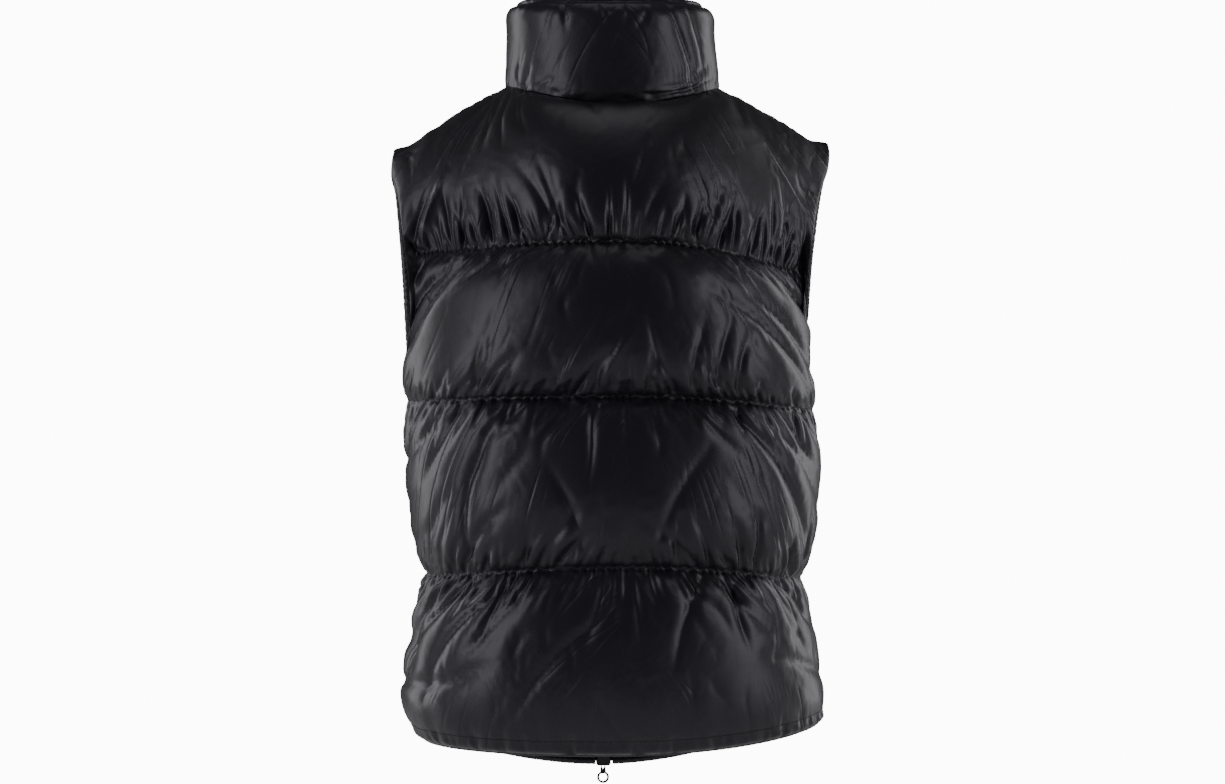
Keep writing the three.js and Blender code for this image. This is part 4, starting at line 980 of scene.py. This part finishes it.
def closed_sheet(name, points, gathered):
    """A wall from a sheet that returns to its own start: its first and last rows and its two
    side edges are closed with faces."""
    rows, columns = points.shape[:2]
    o = np.arange(rows * columns).reshape(rows, columns)
    faces = np.stack([o[:-1, :-1], o[:-1, 1:], o[1:, 1:], o[1:, :-1]], -1).reshape(-1, 4).tolist()
    faces += np.stack([o[0, 1:], o[0, :-1], o[-1, :-1], o[-1, 1:]], -1).tolist()
    faces += [o[:, 0].tolist(), o[::-1, -1].tolist()]
    mesh = bpy.data.meshes.new(name)
    mesh.from_pydata(points.reshape(-1, 3).tolist(), [], faces)
    near = mesh.attributes.new("gathered", "FLOAT", "POINT")
    near.data.foreach_set("value", gathered.reshape(-1).astype(np.float32))
    work = bmesh.new()
    work.from_mesh(mesh)
    bmesh.ops.recalc_face_normals(work, faces=work.faces)
    work.to_mesh(mesh)
    work.free()
    mesh.shade_smooth()
    piece = bpy.data.objects.new(name, mesh)
    bpy.context.scene.collection.objects.link(piece)
    return piece


collar_outer, collar_share, collar_outside = collar_piece(360, 240, 5)
collar_near = np.exp(-(collar_share * .1 / .02) ** 2) * collar_outside
collar = closed_sheet("collar_shell", collar_outer,
                      np.broadcast_to(collar_near[:, None], collar_outer.shape[:2]))
finish_padded(collar, .8, "collar")

# ---------------------------------------------------------------- rolled edges
# The hem and both armholes are turned over elastic into narrow rolls, gathered along their length.

HEM_WIDE, ARMHOLE_WIDE, ROLL_THICK = .0040, .0056, .0028     # half widths and half thickness
GATHER_PITCH, ROLL_STEP = .0064, .0014


def carried(centre, side, out, section, closed):
    """A tube: the section's points, given along side and out, at each place of a path. Rows run
    along the path and columns round the section."""
    points = (centre[:, None] + side[:, None] * section[..., :1] + out[:, None] * section[..., 1:])
    rows, columns = points.shape[:2]
    o = np.arange(rows * columns).reshape(rows, columns)
    if closed:
        o = np.concatenate([o, o[:1]])
    o = np.concatenate([o, o[:, :1]], 1)
    faces = np.stack([o[:-1, :-1], o[:-1, 1:], o[1:, 1:], o[1:, :-1]], -1).reshape(-1, 4).tolist()
    if not closed:
        faces += [o[0, :-1].tolist(), o[-1, :-1][::-1].tolist()]
    return points.reshape(-1, 3), faces


def solid_piece(name, points, faces, smooth_faces=True):
    """A mesh object from points and closed faces, its normals turned outwards."""
    mesh = bpy.data.meshes.new(name)
    mesh.from_pydata(points.tolist(), [], faces)
    work = bmesh.new()
    work.from_mesh(mesh)
    bmesh.ops.recalc_face_normals(work, faces=work.faces)
    work.to_mesh(mesh)
    work.free()
    if smooth_faces:
        mesh.shade_smooth()
    piece = bpy.data.objects.new(name, mesh)
    bpy.context.scene.collection.objects.link(piece)
    return piece


def gathered_roll(name, centre, side, out, closed, seed, wide, node):
    """A roll along an edge: an ellipse whose size swells and pinches with slanting gathers, as a
    rectified sine of the length plus the angle round it."""
    long = np.concatenate([[0], np.cumsum(np.linalg.norm(np.diff(centre, axis=0), axis=1))])
    count = int(long[-1] / ROLL_STEP)
    at = np.linspace(0, long[-1], count, endpoint=not closed)
    centre, side, out = (np.stack([np.interp(at, long, part[:, k]) for k in range(3)], -1)
                         for part in (centre, side, out))
    side, out = unit(side), unit(out)
    turn = np.linspace(0, 2 * math.pi, 16, endpoint=False)
    steps = np.cumsum(1 + .3 * uneven(seed, count, 6)) * (at[1] - at[0]) / GATHER_PITCH
    pitch = np.round(steps[-1]) / steps[-1] if closed else 1
    wave = np.abs(np.sin(math.pi * steps[:, None] * pitch + 1.5 * np.cos(turn)[None])) ** .8
    size = .84 + .24 * wave * (1 + .3 * uneven(seed + 1, count, 9))[:, None]
    section = np.stack([wide * np.cos(turn)[None] * (.7 + .3 * size),
                        ROLL_THICK * np.sin(turn)[None] * size], -1)
    points, faces = carried(centre, side, out, section, closed)
    piece = solid_piece(name, points, faces)
    piece.data.materials.append(shell_nylon)
    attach(piece, "vest")
    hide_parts(node)
    return piece


def edge_frames(panel, way, line):
    """Frames along an armhole edge: off the panel, and out of its face."""
    s = np.array([way * .97, way * .985, way])
    face = lining(panel, s, line)
    out = thickness_way(panel, face, s, line)[:, 1]
    side = unit(np.cross(np.gradient(face[:, 2], axis=0), out))
    side *= np.sign(np.sum(side * (face[:, 2] - face[:, 0]), -1, keepdims=True))
    out = unit(out - side * np.sum(out * side, -1, keepdims=True))
    return np.stack([face[:, 2], side, out])


edge_paths = []
for label, way, seed in (("left", 1.0, 61), ("right", -1.0, 67)):
    line = 2.01 + 1.985 * np.linspace(0, 1, 90) ** 1.3
    up, down = edge_frames("back", way, line), edge_frames("front", way, line)
    low, tip = (up[:, :1] + down[:, :1]) / 2, (up[:, -1:] + down[:, -1:]) / 2
    centre, side, out = np.concatenate([low, up[:, 1:-1], tip, down[:, -2:0:-1], low], 1)
    side, out = unit(blur(side, .8, 0)), unit(blur(out, 1.0, 0))
    near = .0044 * smooth((line - 3.8) / .2)     # the roll is drawn in at the shoulder's tip
    tucked = np.concatenate([near[:1], near[1:-1], near[-1:], near[-2:0:-1], near[:1]])[:, None]
    centre = (blur(centre, .4, 0) + side * (ARMHOLE_WIDE - .0022 - tucked)
              + out * (ROLL_THICK - .0010))
    edge_paths.append((centre + side * ARMHOLE_WIDE * .45 + out * ROLL_THICK * .9, out))
    gathered_roll("armhole_edge_" + label, centre, side, out, True, seed, ARMHOLE_WIDE,
                  "armhole_roll_" + label)

start = float(column_angle("front", np.array(-.0001), 0))
turn = np.linspace(start, -start, 400)
hem_line = body_below_arms(turn, 0 * turn)
hem_up = unit(body_below_arms(turn, 0 * turn + .02) - hem_line)
hem_out = unit(np.cross(hem_up, np.gradient(hem_line, axis=0)))
hem_out *= np.sign(np.sum(hem_out[:, :2] * hem_line[:, :2], -1, keepdims=True))
hem_path = hem_line - hem_up * (HEM_WIDE - .0012) + hem_out * (ROLL_THICK - .0010)
gathered_roll("hem_edge", hem_path, hem_up, hem_out, False, 71, HEM_WIDE, "hem_roll")

# ---------------------------------------------------------------- stitches
# Black polyester thread: a lock stitch along each quilting line, above the hem and round the
# armholes' rolls, every stitch a short arched bar that dips in at both ends.

STITCH_PITCH, STITCH_LONG, THREAD = .0032, .0026, .00024
HEM_STITCH_ROW = 5      # the row that lies 10 mm above a panel's lower edge


def stitch_line(path, out):
    """The points and faces of a row of stitches on a path: each has three rings of four points,
    and its middle ring is lifted by half a thread."""
    long = np.concatenate([[0], np.cumsum(np.linalg.norm(np.diff(path, axis=0), axis=1))])
    count = int(long[-1] / STITCH_PITCH)
    at = (np.arange(count)[:, None] + .1) * STITCH_PITCH + np.array([0, .5, 1]) * STITCH_LONG
    centre, up = (np.stack([np.interp(at, long, part[:, k]) for k in range(3)], -1)
                  for part in (path, out))
    up = unit(up)
    across = unit(np.cross(centre[:, 2:] - centre[:, :1], up))
    centre = centre + up * (np.array([-.4, .5, -.4]) * THREAD)[None, :, None]
    turn = np.arange(4) * math.pi / 2 + math.pi / 4
    points = (centre[:, :, None] + THREAD * 1.4 * (across[:, :, None] * np.cos(turn)[:, None]
                                                    + up[:, :, None] * np.sin(turn)[:, None]))
    first = np.arange(count)[:, None] * 12
    ring = np.array([[r * 4 + k, r * 4 + (k + 1) % 4, r * 4 + 4 + (k + 1) % 4, r * 4 + 4 + k]
                     for r in range(2) for k in range(4)] + [[3, 2, 1, 0], [8, 9, 10, 11]])
    return points.reshape(-1, 3), (first[:, None] + ring[None]).reshape(-1, 4)


thread = bpy.data.materials.new("thread")
thread.use_nodes = True
shader = thread.node_tree.nodes["Principled BSDF"]
shader.inputs["Base Color"].default_value = (.012, .012, .014, 1)
shader.inputs["Roughness"].default_value = .5


def sewn_row(name, lines):
    """One mesh of all the stitches on several paths, given with their outward directions."""
    parts, faces, count = [], [], 0
    for path, out in lines:
        points, quads = stitch_line(path, out)
        parts.append(points)
        faces.append(quads + count)
        count += len(points)
    row = solid_piece(name, np.concatenate(parts), np.concatenate(faces).tolist())
    row.data.materials.append(thread)
    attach(row, "vest")


for label, (outer, base) in dict(front_edges, back=(back_outer, back_lining)).items():
    lines = []
    for n in (HEM_STITCH_ROW, SHOWN_ROWS, 2 * SHOWN_ROWS, 3 * SHOWN_ROWS):
        path, foot = outer[n], base[n]
        lines.append((path + unit(path - foot) * .0002, unit(path - foot)))
    sewn_row("quilting_" + label, lines)
sewn_row("edge_stitches", edge_paths)

# ---------------------------------------------------------------- zip
# A moulded nylon zip up the centre front: two woven tapes, two rows of interlocked teeth, and a
# black enamelled slider at each end with a ring pull.

ZIP_OFFSET, TAPE_THICK, TAPE_FROM, TAPE_TO = .0026, .0010, .0008, .00936
TOOTH_PITCH, TOOTH_REACH, TOOTH_BACK, TOOTH_TALL, TOOTH_THICK = .0026, .0010, .0031, .0021, .0030


def zip_frames(from_foot, to_foot, count):
    """Centres, outward and upward directions along the zip, from the panels' front line and then
    the front of the collar, at lengths from its foot 8 mm below the hem."""
    front = lining("front", np.array([.0001]), np.linspace(0, 3.9, 120))[:, 0]
    neck, _ = collar_lining(np.array([COLLAR_END]), np.array([.1, .3, .5, .7, .86, 1]))
    line = np.concatenate([front, neck[:, 0]]) * [0, 1, 1]
    line = np.concatenate([line[:1] + unit(line[:1] - line[1:2]) * .008, line])
    long = np.concatenate([[0], np.cumsum(np.linalg.norm(np.diff(line, axis=0), axis=1))])
    fine = np.linspace(0, long[-1], 400)
    line = blur(np.stack([np.interp(fine, long, line[:, k]) for k in range(3)], -1), 3, 0)
    up = unit(np.gradient(line, axis=0))
    at = np.linspace(from_foot, long[-1] - to_foot, count)
    line, up = (np.stack([np.interp(at, fine, part[:, k]) for k in range(3)], -1)
                for part in (line, up))
    up = unit(up)
    out = np.stack([0 * at, -up[:, 2], up[:, 1]], -1)
    return line + out * ZIP_OFFSET, out, up, at


def zip_tape(way):
    """One tape: a flat strip with its rounded edges."""
    centre, out, _, _ = zip_frames(.001, .001, 260)
    side = np.broadcast_to([float(way), 0, 0], centre.shape)
    x = np.array([TAPE_FROM, TAPE_FROM, TAPE_FROM + .0003, TAPE_TO, TAPE_TO, TAPE_FROM + .0003])
    t = np.array([-.3, .3, .5, .5, -.5, -.5]) * TAPE_THICK
    points, faces = carried(centre, side, out, np.stack([x, t], -1)[None], False)
    return solid_piece("woven_tape_" + ("left" if way > 0 else "right"), points, faces, False)


def zip_teeth():
    """All the teeth as one mesh. Each is an eight-sided head and shank seen from the front, cut
    from four such outlines, small at both faces, so its edges are chamfered."""
    centre, out, up, at = zip_frames(.019, .0225, 2 * int(.70 / TOOTH_PITCH))
    way = np.where(np.arange(len(at)) % 2, 1.0, -1.0)[:, None, None]
    x = np.array([-1, -.75, .1, .35, 1, 1, .35, .1]) * TOOTH_BACK
    x[:2] = -TOOTH_REACH, -TOOTH_REACH * .6
    x[7] = -TOOTH_REACH * .1
    z = np.array([0, .62, .62, .36, .36, -.36, -.36, -.62]) * TOOTH_TALL
    mid = np.array([x.mean(), 0])
    rings = []
    for size, depth in ((.7, -.5), (1, -.32), (1, .32), (.7, .5)):
        ring = (np.stack([x, z], -1) - mid) * size + mid
        rings.append((centre[:, None] + way * [1.0, 0, 0] * ring[None, :, :1]
                      + up[:, None] * ring[None, :, 1:] + out[:, None] * depth * TOOTH_THICK))
    points = np.stack(rings, 1)
    first = np.arange(len(at))[:, None, None] * 32
    walls = np.array([[r * 8 + k, r * 8 + (k + 1) % 8, r * 8 + 8 + (k + 1) % 8, r * 8 + 8 + k]
                      for r in range(3) for k in range(8)])
    ends = np.array([np.arange(8)[::-1], np.arange(24, 32)])
    faces = (first + walls).reshape(-1, 4).tolist() + (first + ends).reshape(-1, 8).tolist()
    return solid_piece("moulded_teeth", points.reshape(-1, 3), faces, False)


tape_cloth = nylon("woven_tape", (.010, .010, .011), .7, .1, 0)
tooth_nylon = bpy.data.materials.new("tooth_nylon")
tooth_nylon.use_nodes = True
shader = tooth_nylon.node_tree.nodes["Principled BSDF"]
shader.inputs["Base Color"].default_value = (.012, .012, .013, 1)
shader.inputs["Roughness"].default_value = .34
for way, label in ((1, "left"), (-1, "right")):
    tape = zip_tape(way)
    tape.data.materials.append(tape_cloth)
    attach(tape, "vest")
    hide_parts("zip_tape_" + label)
teeth = zip_teeth()
teeth.data.materials.append(tooth_nylon)
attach(teeth, "vest")
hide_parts("zip_chain")

# Enamel: black paint over a zinc casting, worn to a lower gloss in patches.
enamel = bpy.data.materials.new("black_enamel")
enamel.use_nodes = True
tree = enamel.node_tree
shader = tree.nodes["Principled BSDF"]
shader.inputs["Base Color"].default_value = (.014, .014, .016, 1)
shader.inputs["Coat Weight"].default_value = .1
wear = tree.nodes.new("ShaderNodeTexNoise")
wear.inputs["Scale"].default_value = 320
wear.inputs["Detail"].default_value = 3
tree.links.new(tree.nodes.new("ShaderNodeTexCoord").outputs["Object"], wear.inputs["Vector"])
gloss = tree.nodes.new("ShaderNodeMapRange")
gloss.inputs["To Min"].default_value = .38
gloss.inputs["To Max"].default_value = .54
tree.links.new(wear.outputs["Fac"], gloss.inputs["Value"])
tree.links.new(gloss.outputs[0], shader.inputs["Roughness"])
for name in ("zip_bottom_slider", "zip_top_slider"):
    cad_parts[name].data.materials.clear()
    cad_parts[name].data.materials.append(enamel)

RING_OUTER, RING_WIRE = .0064, .0012


def ring_pull(name, node):
    """A pull that hangs straight down: a wire ring under a tapered plate with a long hole, the
    plate's two outlines each of 24 points and its edges chamfered."""
    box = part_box(node)
    low, high = Vector(box[0]), Vector(box[1])
    y = (low.y + high.y) / 2
    centre = low.z + RING_OUTER - .0001
    around = np.linspace(0, 2 * math.pi, 48, endpoint=False)
    path = np.stack([np.sin(around), 0 * around, np.cos(around)], -1)
    wire = np.linspace(0, 2 * math.pi, 12, endpoint=False)
    section = np.stack([np.cos(wire), np.sin(wire)], -1)[None] * RING_WIRE
    middle = path * (RING_OUTER - RING_WIRE) + [0, y, centre]
    ring, ring_faces = carried(middle, path, np.broadcast_to([0, 1.0, 0], path.shape), section, True)

    foot, head = centre + RING_OUTER - 2 * RING_WIRE - .0004, high.z
    turn = np.linspace(0, 2 * math.pi, 24, endpoint=False)
    sides, level = np.sin(turn), np.cos(turn)
    square = np.stack([np.sign(sides) * np.abs(sides) ** .45, np.sign(level) * np.abs(level) ** .45], -1)
    tall = (head - foot) / 2
    wide = .0026 - .0006 * square[:, 1:]
    outer = np.concatenate([square[:, :1] * wide, square[:, 1:] * tall + (head + foot) / 2], 1)
    hole = np.stack([sides * .0013, level * tall * .5 + foot + tall * 1.25], -1)
    loops = []
    for loop, grow, depth in ((outer, .86, -.5), (outer, 1, -.3), (outer, 1, .3), (outer, .86, .5),
                              (hole, 1.16, .5), (hole, 1, .3), (hole, 1, -.3), (hole, 1.16, -.5)):
        about = loop.mean(0)
        flat = (loop - about) * grow + about
        loops.append(np.stack([flat[:, 0], 0 * flat[:, 0] + y + depth * .0016, flat[:, 1]], -1))
    plate = np.stack(loops, 1).reshape(-1, 3)
    index = np.arange(24 * 8).reshape(24, 8)
    nxt, beside = np.roll(index, -1, 0), np.roll(index, -1, 1)
    quads = np.stack([index, nxt, np.roll(nxt, -1, 1), beside], -1).reshape(-1, 4)
    pull = solid_piece(name, np.concatenate([ring, plate]),
                       ring_faces + (quads + len(ring)).tolist())
    pull.data.materials.append(enamel)
    return pull


for end in ("bottom", "top"):
    pull = ring_pull("ring_pull_" + end, f"zip_{end}_pull")
    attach(pull, end + "_pull")
    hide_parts(f"zip_{end}_pull")

# ---------------------------------------------------------------- floor and light
# A plain pale floor, tall soft boxes at the four corners, and a dim white room.

around = np.linspace(0, 2 * math.pi, 96, endpoint=False)
floor_mesh = bpy.data.meshes.new("floor")
floor_mesh.from_pydata(np.stack([3.3 * np.cos(around), 3.3 * np.sin(around), 0 * around - 1.15], -1)
                       .tolist(), [], [list(range(96))])
floor = bpy.data.objects.new("floor", floor_mesh)
bpy.context.scene.collection.objects.link(floor)
pale = bpy.data.materials.new("pale_floor")
pale.use_nodes = True
nodes, links = pale.node_tree.nodes, pale.node_tree.links
nodes["Principled BSDF"].inputs["Base Color"].default_value = (.8, .8, .8, 1)
nodes["Principled BSDF"].inputs["Roughness"].default_value = .8
nodes["Principled BSDF"].inputs["Emission Color"].default_value = (1, 1, 1, 1)
nodes["Principled BSDF"].inputs["Emission Strength"].default_value = .08
bright, rays = nodes.new("ShaderNodeEmission"), nodes.new("ShaderNodeLightPath")
spread = nodes.new("ShaderNodeVectorMath")
spread.operation = "LENGTH"
links.new(nodes.new("ShaderNodeTexCoord").outputs["Object"], spread.inputs[0])
fades = nodes.new("ShaderNodeMapRange")
for socket, value in (("From Min", 1.5), ("From Max", 3.4), ("To Min", 9), ("To Max", 12)):
    fades.inputs[socket].default_value = value
links.new(spread.outputs["Value"], fades.inputs["Value"])
links.new(fades.outputs[0], bright.inputs["Strength"])
either = nodes.new("ShaderNodeMixShader")
links.new(rays.outputs["Is Camera Ray"], either.inputs["Fac"])
links.new(nodes["Principled BSDF"].outputs[0], either.inputs[1])
links.new(bright.outputs[0], either.inputs[2])
links.new(either.outputs[0], nodes["Material Output"].inputs["Surface"])
floor_mesh.materials.append(pale)


def soft_box(name, place, target, wide, tall, watts):
    """A rectangular area light that faces a point."""
    light = bpy.data.lights.new(name, "AREA")
    light.shape, light.size, light.size_y, light.energy = "RECTANGLE", wide, tall, watts
    lamp = bpy.data.objects.new(name, light)
    bpy.context.scene.collection.objects.link(lamp)
    lamp.location = place
    lamp.rotation_euler = (Vector(target) - Vector(place)).to_track_quat("-Z", "Y").to_euler()
    lamp.visible_camera = False


MIDDLE = (0, 0, -.3)
for side_way, label in ((1, "left"), (-1, "right")):
    for end_way, end in ((1, "back"), (-1, "front")):
        soft_box(f"box_{label}_{end}", (2.2 * side_way, 1.2 * end_way, .1), MIDDLE, 1.05, 2.4,
                 24 if side_way > 0 else 21)
soft_box("top_box", (0, .3, 2.2), MIDDLE, 1.6, 1.6, 7)

room = bpy.data.worlds.new("room")
bpy.context.scene.world = room
room.use_nodes = True
nodes, links = room.node_tree.nodes, room.node_tree.links
seen, dim = nodes["Background"], nodes.new("ShaderNodeBackground")
seen.inputs["Color"].default_value = (1, 1, 1, 1)
seen.inputs["Strength"].default_value = 12
dim.inputs["Color"].default_value = (1, 1, 1, 1)
dim.inputs["Strength"].default_value = .07
rays, either = nodes.new("ShaderNodeLightPath"), nodes.new("ShaderNodeMixShader")
links.new(rays.outputs["Is Camera Ray"], either.inputs["Fac"])
links.new(dim.outputs[0], either.inputs[1])
links.new(seen.outputs[0], either.inputs[2])
links.new(either.outputs[0], nodes["World Output"].inputs["Surface"])
